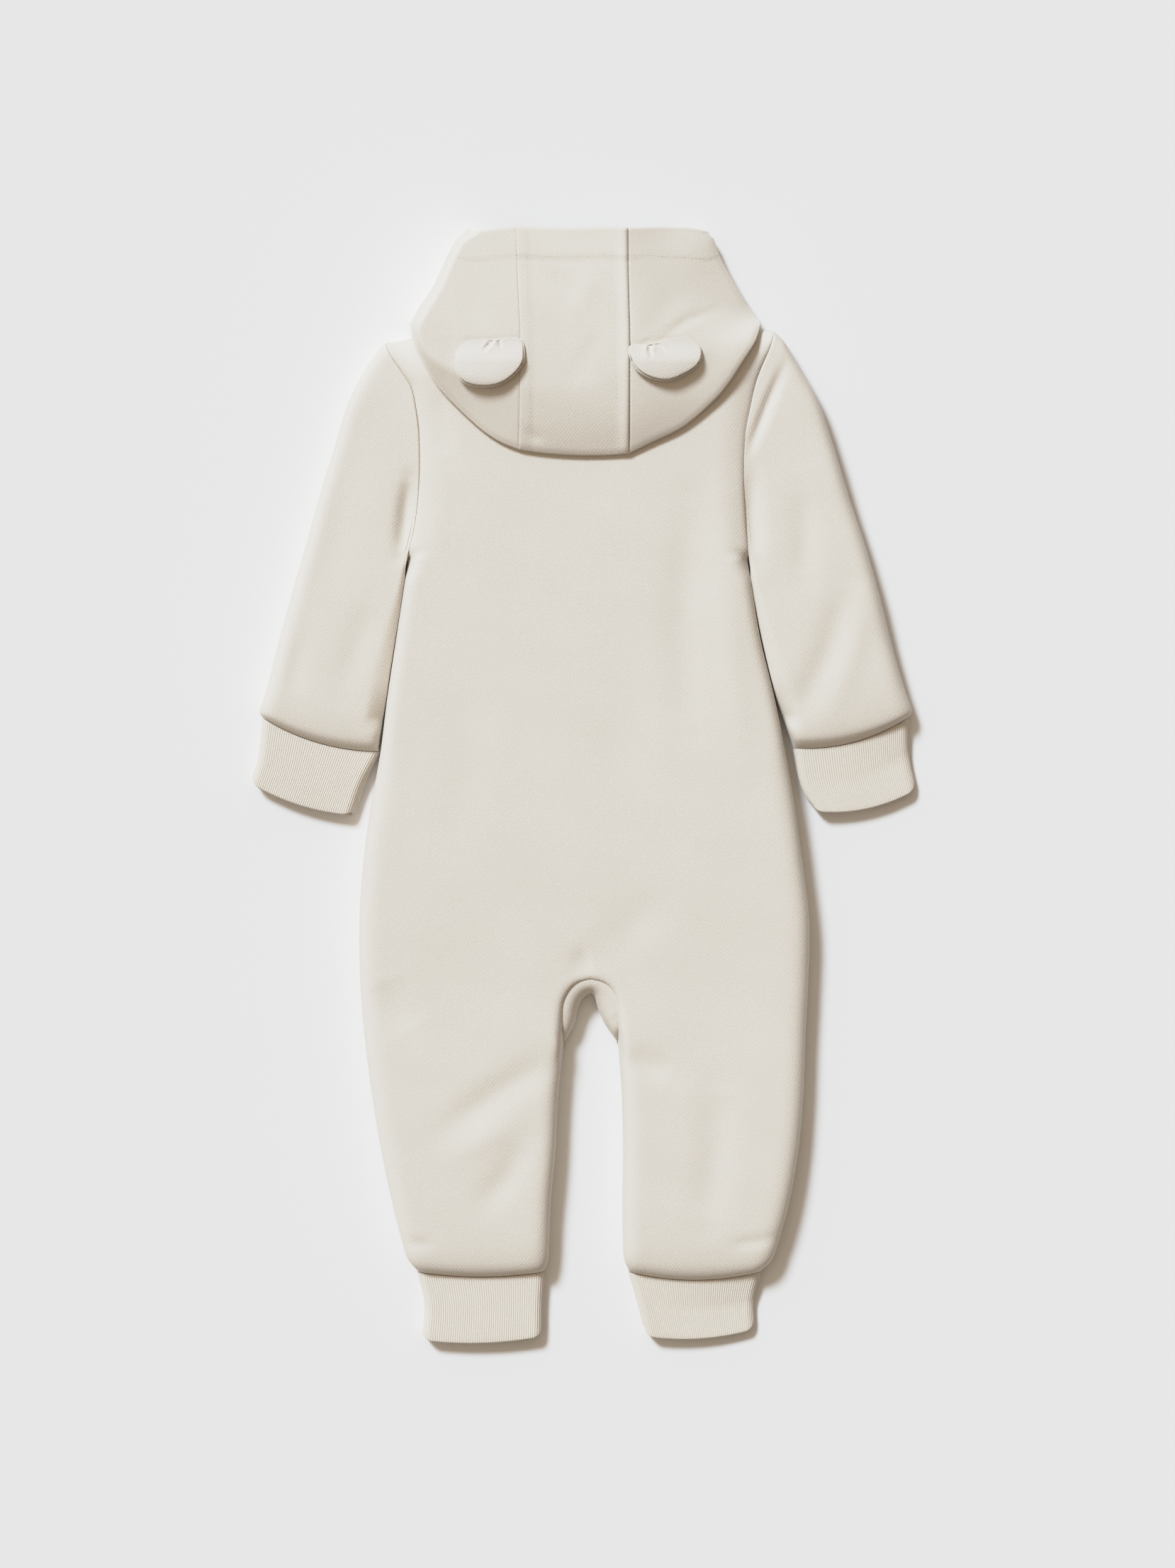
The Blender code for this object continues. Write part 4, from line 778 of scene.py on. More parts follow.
def front_half(side, spacing):
    """Points of one front, which lies flat underneath, from its side seam to the middle or inseam."""
    arch = smooth_path(ARCH_FRONT, ARCH_COUNT)
    fall = 1 - roll(np.linspace(0, 1, FRONT_STEPS))
    grid = []
    for y in body_rows(spacing):
        waist = WAIST_SHARE * LOFT("height", y)
        low = side * min(LOW_ROLL, waist)
        edge, closed = side_seam(y, side)
        rim = 0.0
        if y > UNDERARM:
            rim_y = settle(np.array([edge]), y, side, -1, 1)[0]
            from_seam = min(shoulder_line(edge, side) - rim_y, y - UNDERARM)
            rim = FOLD_HEIGHT * (1 - roll(from_seam / LOW_ROLL))
        outer_x, outer_z = front_roll(edge, -low, rim * fall, waist, closed)
        drop = 0.0
        if y >= CROTCH:
            end = middle(y)
            drop = FRONT_DROP * step(1 - (y - CROTCH) / FRONT_DROP_FADE)
            inner_x, inner_z = np.full(FRONT_STEPS, end), np.zeros(FRONT_STEPS)
        elif y >= INSEAM_TOP:
            t = (y - CROTCH) / (INSEAM_TOP - CROTCH)
            end, seam_y, end_z = arch[round(ARCH_MIDDLE * (1 - t) if side < 0 else ARCH_MIDDLE * (1 + t))]
            drop = seam_y - y
            inner_x, inner_z = front_roll(end, low, end_z * fall, waist, 0.0)
        else:
            end = INSEAMS(SIDE_NAMES[side], y)
            inner_x, inner_z = front_roll(end, low, 0.0 * fall, waist, step((INSEAM_TOP - y) / CLOSING))
        x = np.concatenate([outer_x, mix(outer_x[-1], inner_x[-1], FRONT_FLAT), inner_x[::-1]])
        z = np.concatenate([outer_z, np.zeros(len(FRONT_FLAT)), inner_z[::-1]])
        share = np.concatenate([np.zeros(FRONT_STEPS), FRONT_FLAT, np.ones(FRONT_STEPS)]) ** 2
        y_here = settle(x, y, side, *sorted((edge, end))) + drop * share
        if y == NECK_TOP:
            z = FOLD_HEIGHT * clip((np.abs(x) - NECK_HALF + 6.0) / 6.0)
        grid.append(np.stack([x, y_here, np.maximum(z, 0.0)], -1))
    return np.array(grid)


# Sleeves ------------------------------------------------------------------------------------


def armhole_curve(side, count=200):
    """The armhole from the shoulder tip to the underarm, with its chord places and distances from it."""
    name = SIDE_NAMES[side]
    rows = np.linspace(NECK_TOP, UNDERARM, count)
    x = ARMHOLES(name, rows)
    y = np.array([settle(np.array([a]), b, side, -1, 1)[0] for a, b in zip(x, rows)])
    z = armhole_height(y, side)
    tip, pit = np.array([x[0], y[0]]), np.array([x[-1], y[-1]])
    chord = (pit - tip) / np.linalg.norm(pit - tip)
    normal = np.array([-chord[1], chord[0]]) * (1 if side < 0 else -1)
    place = np.stack([x, y], -1) - tip
    return place @ chord / np.linalg.norm(pit - tip), place @ normal, np.stack([x, y, z], -1)


# Lengths in mm that a sleeve's points are spread over: round a layer, the cap, the arm and the hem
SLEEVE_GIRTH = 100.0
CAP_DEPTH = 12.0
ARM_LENGTH = 190.0
HEM_DEPTH = 20.0
# The rings between which a sleeve's inner edge is tucked beside the body, and the rings over which that fades
TUCK_RINGS = (1.2, 9.6)
TUCK_FADES = (1.2, 0.8)
# Where along a ring the tuck starts: near its end at the armhole, further out from TUCK_WIDENS on
TUCK_STARTS = (0.95, 0.75)
TUCK_WIDENS = 2.0
# Where the inner edge comes down again, and over how many rings
LOW_RING = 7.0
LOW_FADE = 3.0
# The seam's dip on the sleeve's side
CAP_DIP = 1.6
CAP_ROUND = 2.2


def sleeve_rings(spacing):
    """Numbers of the rings down a sleeve: 0 at the armhole, 1 below its cap, 9 where the hem starts, 12 at its end."""
    return np.concatenate([
        graded(CAP_DEPTH, (0.35, 2.5), 2.5)[:-1],
        1 + 8 * graded(ARM_LENGTH, (2.5, 2.0), spacing)[:-1],
        9 + 3 * graded(HEM_DEPTH, (1.6, 0.4), 1.6),
    ])


def sleeve_grid(side, spacing):
    """Rings of points round a sleeve, from the armhole to its hem, over the top and back underneath."""
    piece, table = "sleeve_" + SIDE_NAMES[side], SLEEVES[side]
    seam_spots, seam_away, seam = armhole_curve(side)
    over = graded(SLEEVE_GIRTH, (0.3, 0.3), spacing, 1.35)
    under = graded(SLEEVE_GIRTH, (0.8, 0.8), 5.0, 1.6)[::-1][1:-1]
    rows = []
    for ring in sleeve_rings(spacing):
        value = {column: float(table(column, max(ring, 1.0))) for column in table.names[1:]}
        outer = np.array([value["outer_x"], value["outer_y"]])
        inner = np.array([value["inner_x"], value["inner_y"]])
        length = np.linalg.norm(inner - outer)
        along = (inner - outer) / length
        to_body = np.array([-along[1], along[0]]) * (1 if side < 0 else -1)
        fold = min(FOLD_HEIGHT, WAIST_SHARE * value["height"])
        tucked = step((ring - TUCK_RINGS[0]) / TUCK_FADES[0]) * step((TUCK_RINGS[1] - ring) / TUCK_FADES[1])
        tuck_from = mix(*TUCK_STARTS, step((ring - TUCK_WIDENS) / 2.0))
        outer_edge = min(SLEEVE_EDGE, value["height"])
        beside = mix(PIT_HEIGHT, SIDE_HEIGHT, clip(ring / 2))
        beside = mix(beside, fold, step((ring - LOW_RING) / LOW_FADE))
        row = []
        for spot, upper in [(s, True) for s in over] + [(s, False) for s in under]:
            bulge = np.interp(spot, seam_spots, seam_away) / seam_away.max()
            bow = value["bow"] * mix(bulge, 4 * spot * (1 - spot), value["parted"])
            at_end = clip((spot - tuck_from) / (1 - tuck_from))
            place = outer + along * length * spot + to_body * (bow + TUCK * tucked * at_end)
            if ring < 1:
                start = [np.interp(spot, seam_spots, seam[:, k]) for k in (0, 1)]
                place = mix(np.array(start), place, ring)
            side_away = min(spot, 1 - spot) * length
            edge, low = (outer_edge * PIT_SHARE, beside) if spot > 0.5 else (outer_edge, fold)
            if upper:
                rise = tight_roll(side_away / edge)
                if spot > 0.5:
                    rise = mix(rise, rounded(side_away / TUCK_SLOPE, 1.5), tucked)
                z = mix(low, value["height"], rise)
            else:
                z = low * (1 - roll(side_away / LOW_ROLL))
            row.append((place[0], place[1], z))
        row = np.array(row)
        clear = step((row[:, 2] / value["height"] - 0.55) / 0.3) * (np.arange(len(row)) < len(over))
        row[:, 2] -= folds_at(piece, row[:, 0], row[:, 1]) * clear
        row[:, 2] += 0.25 * ripple(row[:, 0], row[:, 1], 45.0, 5 + side) * clear
        row[:, 2] -= CAP_DIP * (1 - roll(ring * CAP_DEPTH / CAP_ROUND)) * clear
        rows.append(row)
    return np.array(rows)


GUSSET_LENGTH = 110.0
GUSSET_STEPS = 17


def gusset_grid(spacing):
    """The rolled strip between the legs: across it, a quarter round from the back's edge to the fronts'."""
    count = round(GUSSET_LENGTH / spacing)
    top, low = smooth_path(ARCH_BACK, count), smooth_path(ARCH_FRONT, count)
    top[:, 2] -= SEAM_DIP
    rows = []
    for turn in np.radians(np.linspace(0.0, 90.0, GUSSET_STEPS)):
        plan = mix(top[:, :2], low[:, :2], math.sin(turn) ** 0.8)
        z = mix(low[:, 2], top[:, 2], max(math.cos(turn), 0.0) ** 0.7)
        rows.append(np.concatenate([plan, z[:, None]], -1))
    return np.array(rows)


# Cuffs --------------------------------------------------------------------------------------

RIB_RISE = 0.42
RIB_STEPS = 5
CUFF_WALL = 1.8
CUFF_CORNER = 6.0
CUFF_CORNER_TURN = 0.8
# How far a cuff's lower layer shows beyond the upper one at its right side
CUFF_SLIP = {"sleeve_cuff_left": 4.2}
# How much lower a cuff's upper layer lies at its right side
CUFF_FALL = {"sleeve_cuff_right": 0.28, "leg_cuff_right": 0.34}


def cuff_section(length, ribs, inset, rise):
    """Places (x, z) round a cuff from its lower left, ribbed on top and shallower underneath."""
    half = CUFF_HEIGHT / 2
    flat = length - 2 * half
    arc = math.pi * half
    found = []
    for under in (False, True):
        count = ribs * RIB_STEPS
        for k in range(count):
            run = (flat + arc) * k / count
            swell = 0.5 - 0.5 * math.cos(math.tau * k / RIB_STEPS)
            radius = half - inset + (rise * swell if not under else -0.6 * rise * (1 - swell))
            if run < arc / 2:
                turn = run / half
                spot = (half - radius * math.cos(turn), radius * math.sin(turn))
            elif run < arc / 2 + flat:
                spot = (half + run - arc / 2, radius)
            else:
                turn = (run - arc / 2 - flat) / half
                spot = (half + flat + radius * math.sin(turn), radius * math.cos(turn))
            found.append((spot[0], half + spot[1]) if not under else (length - spot[0], half - spot[1]))
    return np.array(found)


def cuff_rows():
    """Rings along the outside, round the open edge and back along the inside.

    Each has its place down the cuff, how far inside it lies, the share of the ribs' rise, and how far it
    reaches beyond the edge.
    """
    steps = [(t, 0.0, 1.0, 0.0) for t in np.linspace(0.0, 2.0, 15)]
    wall = CUFF_WALL / 2
    for angle in np.linspace(20, 160, 7):
        turn = math.radians(angle)
        steps.append((2.0, wall * (1 - math.cos(turn)), max(0.0, math.cos(turn)), wall * math.sin(turn)))
    return steps + [(t, CUFF_WALL, 0.0, 0.0) for t in np.linspace(2.0, 0.0, 6)]


def cuff_grid(name):
    table = CUFFS[name]

    def ends(ring):
        return [np.array([table(end + "_x", ring), table(end + "_y", ring)]) for end in ("left", "right")]

    ribs = round((math.dist(*ends(0)) + (math.pi / 2 - 1) * CUFF_HEIGHT) / RIB_PITCH)
    rows = []
    for ring, inset, ribbed, beyond in cuff_rows():
        left, right = ends(ring)
        length = np.linalg.norm(right - left)
        along = (right - left) / length
        normal = np.array([-along[1], along[0]])
        section = cuff_section(length, ribs, inset, RIB_RISE * ribbed)
        t = section[:, 0] / length
        into_corner = np.maximum(CUFF_CORNER - np.minimum(t, 1 - t) * length, 0)
        corner = CUFF_CORNER - np.sqrt(np.maximum(CUFF_CORNER ** 2 - into_corner ** 2, 0))
        bow = table("bow", ring) * 4 * t * (1 - t) - beyond + CUFF_CORNER_TURN * corner * (ring / 2) ** 8
        lower = clip(1 - section[:, 1] / (0.7 * CUFF_HEIGHT))
        slip = CUFF_SLIP.get(name, 0.0) * min(ring, 1.0) * lower * clip(t) ** 3
        plan = left + along * (section[:, :1] + slip[:, None]) + normal * bow[:, None]
        fall = CUFF_FALL.get(name, 0.0) * min(ring, 1.0) * clip(t)
        rows.append(np.concatenate([plan, section[:, 1:] * (1 - fall[:, None])], -1))
    return np.array(rows + rows[:1])


# The hood -----------------------------------------------------------------------------------

HOOD_TOP = Table("y height", (
    (200.0, 38.6), (250.0, 39.2), (269.0, 39.1), (281.0, 38.7), (292.0, 38.1), (304.0, 37.3), (317.0, 36.3),
    (328.0, 35.2), (336.0, 34.3), (340.0, 33.8),
))
HOOD_SEAMS = {
    -1: ((-40.9, 339.8), (-40.2, 317.0), (-39.0, 292.0), (-38.3, 275.0), (-38.5, 250.0), (-38.7, 230.0),
         (-39.2, 203.2)),
    1: ((27.1, 338.6), (27.4, 317.0), (28.0, 292.0), (28.4, 275.0), (28.3, 250.0), (28.2, 230.0),
        (27.9, 200.8)),
}
HOOD_FOLDS = {
    -1: ((-71.0, 336.2), (-75.7, 333.3), (-79.6, 327.6), (-83.9, 319.0), (-91.3, 303.0), (-99.3, 291.0),
         (-105.6, 280.0)),
    1: ((75.0, 336.2), (78.7, 331.8), (81.2, 326.6), (84.6, 318.6), (90.5, 307.6), (98.9, 293.6),
        (108.2, 280.0)),
}
HOOD_ARCS = {
    -1: ((-39.2, 203.2), (-50.3, 207.7), (-62.0, 215.4), (-77.0, 229.2), (-89.9, 243.4), (-98.0, 256.3),
         (-104.1, 269.6), (-105.6, 280.0)),
    1: ((27.9, 200.8), (42.1, 207.7), (61.1, 217.2), (78.7, 232.2), (88.4, 243.4), (96.6, 256.0),
        (104.8, 269.0),
        (108.2, 280.0)),
}
HOOD_HEMS = {
    -1: ((-40.9, 339.8), (-50.0, 338.9), (-60.0, 337.5), (-71.0, 336.2)),
    1: ((27.1, 338.6), (43.0, 339.0), (58.0, 338.8), (67.0, 338.2), (75.0, 336.2)),
}
HOOD_CENTER_HEM = ((-40.9, 339.8), (-25.0, 339.2), (-10.0, 338.8), (12.0, 339.4), (27.1, 338.6))
HOOD_CENTER_LOW = ((-39.2, 203.2), (-26.0, 201.2), (-5.0, 199.7), (15.0, 199.8), (27.9, 200.8))
# How far the upper layer slopes up from the left fold, the right fold and the bottom
HOOD_SLOPES = {-1: 5.0, 1: 66.0, "low": 41.0}
HOOD_EDGE = 1.7
HOOD_FOLD_WAIST = 5.6
HOOD_LOW_WAIST = 2.4
# Height of the side folds where they lie on the floor
HOOD_FLOOR_WAISTS = {-1: 21.0, 1: 8.0}
HOOD_HEM = 17.0
HEM_TURN = 2.2
SEAM_STRIP = 6.8
SEAM_ROLL = 4.2
HEM_KEPT_BACK = 5.0
HEM_INSIDE = (13.0, 9.0, 5.0, 2.5)
HOOD_SIDE_WIDTH = 70.0
LOWER_SPACING = 1.6
LAYER_GAP = 0.4
WAIST_SMOOTHING = 30
# Rows from which the side folds lie on the floor, and from which the outline is a fold rather than the bottom
FLOOR_START, FLOOR_FADE = 284.0, 12.0
FOLD_START, FOLD_FADE = 203.0, 60.0
FACE_CORNER = 16.0
FACE_GAP = 1.0
HOOD_STITCHES = {
    "hood_hem": ((-83.4, 319.5), (-65.8, 321.2), (-42.1, 322.1), (-10.3, 320.8), (15.1, 321.6), (28.0, 322.1),
                 (53.3, 320.8), (83.4, 319.1)),
    "hood_seam_left": ((-34.4, 321.0), (-34.0, 292.0), (-33.6, 262.0), (-32.2, 235.0), (-31.4, 204.0)),
    "hood_seam_right": ((20.6, 321.0), (20.2, 300.0), (18.9, 270.5), (20.0, 240.0), (21.5, 203.0)),
}
# Where each ear is sewn into its side panel
EAR_SEAMS = {
    -1: ((-72.0, 269.2), (-55.0, 270.0), (-38.3, 270.8)),
    1: ((27.6, 266.4), (45.0, 269.4), (60.2, 270.9)),
}


class Curve:
    """A smooth curve that is read by the share of its length."""

    def __init__(self, corners):
        self.points = smooth_path(corners, 40 * len(corners))
        lengths = np.linalg.norm(np.diff(self.points, axis=0), axis=1)
        self.places = np.concatenate([[0.0], np.cumsum(lengths)])
        self.length = self.places[-1]

    def __call__(self, share):
        place = np.asarray(share) * self.length
        return np.stack([np.interp(place, self.places, column) for column in self.points.T], -1)


def patch(low, high, start, end, across, along):
    """A grid between four curves: low and high run across, start and end join them along."""
    u, v = across[None, :, None], along[:, None, None]
    corners = [[curve(np.array([t]))[0] for t in (0.0, 1.0)] for curve in (low, high)]
    flat = (1 - v) * low(across)[None] + v * high(across)[None]
    flat = flat + (1 - u) * start(along)[:, None] + u * end(along)[:, None]
    flat = flat - (1 - v) * ((1 - u) * corners[0][0] + u * corners[0][1])
    return flat - v * ((1 - u) * corners[1][0] + u * corners[1][1])


def as_seen(points):
    """Moves high points in towards the camera's axis, so they show where their places in the picture say."""
    return np.concatenate([points[..., :2] * (1 - points[..., 2:] / CAMERA_HEIGHT), points[..., 2:]], -1)


BED_CEILING = 200.0


class Bed:
    """Heights of what already lies there, smoothed as a layer of cloth over it would be."""

    def __init__(self, names, low, high, reach, soften, pitch=2.0):
        self.low, self.pitch = np.array(low), pitch
        surfaces = [surface_of(name) for name in names]
        xs, ys = (np.arange(a, b + pitch, pitch) for a, b in zip(low, high))
        self.net = np.zeros((len(xs), len(ys)))
        for i, x in enumerate(xs):
            for j, y in enumerate(ys):
                start = Vector((x, y, BED_CEILING))
                hits = [surface.ray_cast(start, Vector((0, 0, -1)))[0] for surface in surfaces]
                self.net[i, j] = max([hit.z for hit in hits if hit], default=0.0)
        for blend in [np.max] * round(reach / pitch) + [np.mean] * soften:
            wide = np.pad(self.net, 1, mode="edge")
            near = [wide[i:i + len(xs), j:j + len(ys)] for i in range(3) for j in range(3)]
            self.net = blend(near, axis=0)

    def __call__(self, x, y):
        place = [
            np.clip((v - start) / self.pitch, 0, count - 1.001)
            for v, start, count in zip((x, y), self.low, self.net.shape)
        ]
        i, j = (p.astype(int) for p in place)
        s, t = place[0] - i, place[1] - j
        net = self.net
        return mix(mix(net[i, j], net[i + 1, j], s), mix(net[i, j + 1], net[i + 1, j + 1], s), t)


class Hood:
    """The turned-back hood's folded outline and its two layers' heights."""

    def __init__(self, bed):
        self.bed = bed
        parts = [
            Curve(HOOD_FOLDS[-1])(np.linspace(0, 1, 50)), Curve(HOOD_ARCS[-1])(np.linspace(1, 0, 90))[1:],
            Curve(HOOD_CENTER_LOW)(np.linspace(0, 1, 50))[1:], Curve(HOOD_ARCS[1])(np.linspace(0, 1, 90)),
            Curve(HOOD_FOLDS[1])(np.linspace(1, 0, 50))[1:],
        ]
        # Both folds run on past the hem, so that the upper layer doesn't slope down to it
        beyond = np.arange(24.0, 0.0, -1.5)[:, None]
        first, last = parts[0], parts[-1]
        parts.insert(0, first[:1] + beyond * (first[0] - first[3]) / np.linalg.norm(first[0] - first[3]))
        parts.append(last[-1:] + beyond[::-1] * (last[-1] - last[-4]) / np.linalg.norm(last[-1] - last[-4]))
        self.line = np.concatenate(parts)
        self.gaps = np.linalg.norm(np.gradient(self.line, axis=0), axis=1)
        x, y = self.line.T
        on_floor = step(clip((y - FLOOR_START) / FLOOR_FADE))
        up = step((y - FOLD_START) / FOLD_FADE)
        floor_waist = np.where(x < 0, HOOD_FLOOR_WAISTS[-1], HOOD_FLOOR_WAISTS[1])
        fold = mix(HOOD_FOLD_WAIST, floor_waist, on_floor)
        waist = bed(x * 0.97, y) * (1 - on_floor) + LAYER_GAP + mix(HOOD_LOW_WAIST, fold, up)
        for _ in range(WAIST_SMOOTHING):
            waist[1:-1] = (waist[:-2] + 2 * waist[1:-1] + waist[2:]) / 4
        self.waist = waist
        self.width = mix(HOOD_SLOPES["low"], np.where(x < 0, HOOD_SLOPES[-1], HOOD_SLOPES[1]), up)

    def edge(self, x, y):
        """Distance from the outline, a smoother one for the slope, and the outline's waist and slope."""
        spots = np.stack([np.ravel(x), np.ravel(y)], -1)
        near = self.gaps / (((spots[:, None] - self.line[None]) ** 2).sum(-1) + 0.5) ** 2
        total = near.sum(axis=1)
        smooth = np.sqrt(np.maximum((total * 2 / math.pi) ** (-2 / 3) - 0.5, 0.0))
        away = away_from(self.line, x, y)[0]
        found = (smooth, near @ self.waist / total, near @ self.width / total)
        smooth, waist, width = (value.reshape(np.shape(x)) for value in found)
        return away, smooth * step(away / 3.0), waist, width

    def top(self, x, y):
        """Height of the upper layer, and the distance from the outline."""
        away, smooth, waist, width = self.edge(x, y)
        rise = np.maximum(HOOD_TOP("height", y), waist + HOOD_EDGE + 1.0) - waist - HOOD_EDGE
        return waist + HOOD_EDGE * tight_roll(away / 4.0) + rise * eased(smooth / width, 1.6), away

    def low(self, x, y, on_floor):
        """Height of the lower layer, which lies on the floor or on what is underneath."""
        away, _, waist, _ = self.edge(x, y)
        below = 0.0 * x if on_floor else self.bed(x, y) + 0.5
        return mix(waist, np.minimum(below, waist), roll(away / 7.0))


def hood_relief(x, y, side, hem_line):
    """Seam strips, the stitched hem, the ears' seams and soft creases of the hood's upper layer."""
    from_hem = away_from(hem_line, x, y)[0]
    firm = 1.0 if side == 0 else 0.45
    groove = bell((from_hem - HOOD_HEM) / 0.8)
    rise = firm * (0.7 * (1 - step((from_hem - HOOD_HEM) / 1.2)) - 0.9 * groove)
    rise = rise - folds_at("hood", x, y)
    for near in (-1, 1):
        away = away_from(Curve(HOOD_SEAMS[near])(np.linspace(0, 1, 40)), x, y)[0]
        if side == 0:
            groove = bell((away - SEAM_STRIP) / 0.7)
            strip = 0.4 * (1 - step((away - SEAM_STRIP) / 1.2))
            rise = rise + strip - 0.55 * groove - 0.4 * (1 - roll(away / 1.0))
            if near > 0:
                rise = rise + 1.0 * np.sqrt(clip(1 - (2 * away / SEAM_ROLL - 1) ** 2)) * (away < SEAM_ROLL)
        elif side == near:
            rise = rise - (0.4 if side < 0 else 0.6) * (1 - roll(away / 1.3))
            rise = rise - 0.9 * bell(away_from(EAR_SEAMS[side], x, y)[0] / 0.9)
    return rise


def hood_panel(hood, side, spacing):
    """The grids of one hood panel, each facing up where they aren't turned; side is 0 for the middle one."""
    if side == 0:
        hem, low = Curve(HOOD_CENTER_HEM), Curve(HOOD_CENTER_LOW)
        start, end = Curve(HOOD_SEAMS[-1]), Curve(HOOD_SEAMS[1])
        across = graded(hem.length, (0.5, 0.5), spacing)
        inward, lowered, kept = 99.0, (start, end), 1.0
    else:
        hem, low = Curve(HOOD_HEMS[side]), Curve(HOOD_ARCS[side])
        start, end = Curve(HOOD_SEAMS[side]), Curve(HOOD_FOLDS[side])
        across = graded(HOOD_SIDE_WIDTH, (0.5, 0.35), spacing)
        inward, lowered = np.abs(hem.points[:, 0] - end.points[0, 0]), (start,)
        kept = 1 - HEM_KEPT_BACK / hem.length
    along = graded(start.length, (0.5, 0.35), spacing)
    # The hem's fold reaches to the outline, so the panel itself stops short of it
    hem.points[:, 1] -= HEM_TURN * roll(inward / 8.0)
    for seam in lowered:
        seam.points[:, 1] -= HEM_TURN * step((seam.points[:, 1] - 322.0) / 15.0)

    # The upper layer, the hem's rounded fold and the strip turned inside
    plan = patch(hem, low, start, end, across, along)
    x, y = plan[..., 0], plan[..., 1]
    height, away = hood.top(x, y)
    clear = roll(away / 9.0)
    upper = height + hood_relief(x, y, side, hem.points) * clear + 0.3 * ripple(x, y, 40.0, 11) * clear
    waist = hood.edge(x, y)[2]
    upper[-1] = waist[-1]
    if side:
        upper[:, -1] = waist[:, -1]
    ease = mix(0.04, 1.0, roll(away[0] / 8.0))
    lip = []
    for angle in np.radians(np.linspace(180.0, 22.5, 8)):
        lip_height = upper[0] - HEM_TURN * (1 - math.cos(angle))
        lip.append(np.stack([x[0], y[0] + HEM_TURN * ease * math.sin(angle), lip_height], -1))
    inside = []
    for share in HEM_INSIDE:
        row = patch(hem, low, start, end, across * kept, np.array([share / start.length]))[0]
        inside_height = hood.top(row[:, 0], row[:, 1])[0] - 2 * HEM_TURN + 0.2
        inside.append(np.stack([row[:, 0], row[:, 1], inside_height], -1))
    grids = [np.concatenate([inside, lip, np.stack([x, y, upper], -1)])]

    # The lower layer, from the bottom fold back up to the neck
    if side == 0:
        back = Curve(((-39.0, NECK_TOP), (28.2, NECK_TOP)))
        outer = Curve((low.points[-1], back.points[-1]))
    else:
        back = Curve(((start(np.array([0.42]))[0][0], NECK_TOP), (end.points[-1][0], NECK_TOP)))
        outer = Curve((low.points[-1], low.points[-1]))
    rows = graded(78.0, (0.35, 4.0), spacing * LOWER_SPACING)
    plan = patch(low, back, Curve((low.points[0], back.points[0])), outer, across, rows)
    if side:
        plan[:, -1] = low.points[-1]
    z = hood.low(plan[..., 0], plan[..., 1], False)
    z[0] = waist[-1]
    if side:
        z[:, -1] = waist[-1, -1]
    grids.append(np.concatenate([plan, z[..., None]], -1))

    # A side panel's part on the floor, from its fold to the face opening
    if side:
        tip = end.points[0] + np.array([-side * FACE_CORNER, 0.6])
        throat = np.array([side * FACE_GAP, NECK_TOP])
        reach = graded(60.0, (0.35, 4.0), spacing * LOWER_SPACING)
        plan = patch(Curve((end.points[0], tip)), Curve((end.points[-1], throat)), end, Curve((tip, throat)),
                     reach, along)
        z = hood.low(plan[..., 0], plan[..., 1], True)
        z[:, 0] = waist[:, -1]
        grids.append(np.concatenate([plan, z[..., None]], -1))
    return grids


# The ears -----------------------------------------------------------------------------------

EARS = {
    -1: ((-77.0, 263.5), (-78.3, 257.0), (-77.6, 249.5), (-72.5, 243.6), (-63.0, 241.2), (-52.0, 242.2),
         (-43.5, 247.0), (-37.5, 253.5), (-35.4, 260.5), (-38.2, 270.6), (-55.0, 270.0), (-68.5, 269.2)),
    1: ((28.3, 266.4), (28.1, 259.8), (32.0, 251.8), (41.0, 246.4), (51.5, 244.9), (61.5, 248.6),
        (69.5, 254.0), (72.4, 260.5), (70.2, 266.8), (60.3, 271.0), (49.0, 269.6), (38.5, 266.8)),
}
EAR_TOP = 270.2
EAR_LENGTH = 28.0
EAR_LIFT = 2.4
EAR_POINTS = 120
# An ear's layers: size against the outline, shift to the seam, height where it starts, thickness and dome
EAR_LAYERS = {"back": (1.0, 0.0, 0.0, 2.2, 0.0), "front": (0.965, 1.5, 2.2, 2.0, 1.2)}
# Pleats that gather each ear at its seam
EAR_PLEATS = {
    -1: ((-55.2, 271.0, -57.5, 266.8, -61.5, 262.8, 1.1, 1.3),
         (-51.4, 270.0, -50.8, 267.0, -49.6, 263.2, 0.9, 0.9)),
    1: ((41.2, 270.0, 40.4, 264.5, 41.6, 258.2, 1.2, 1.4),
        (41.2, 267.6, 46.0, 266.6, 50.5, 263.0, 1.0, 1.1)),
}


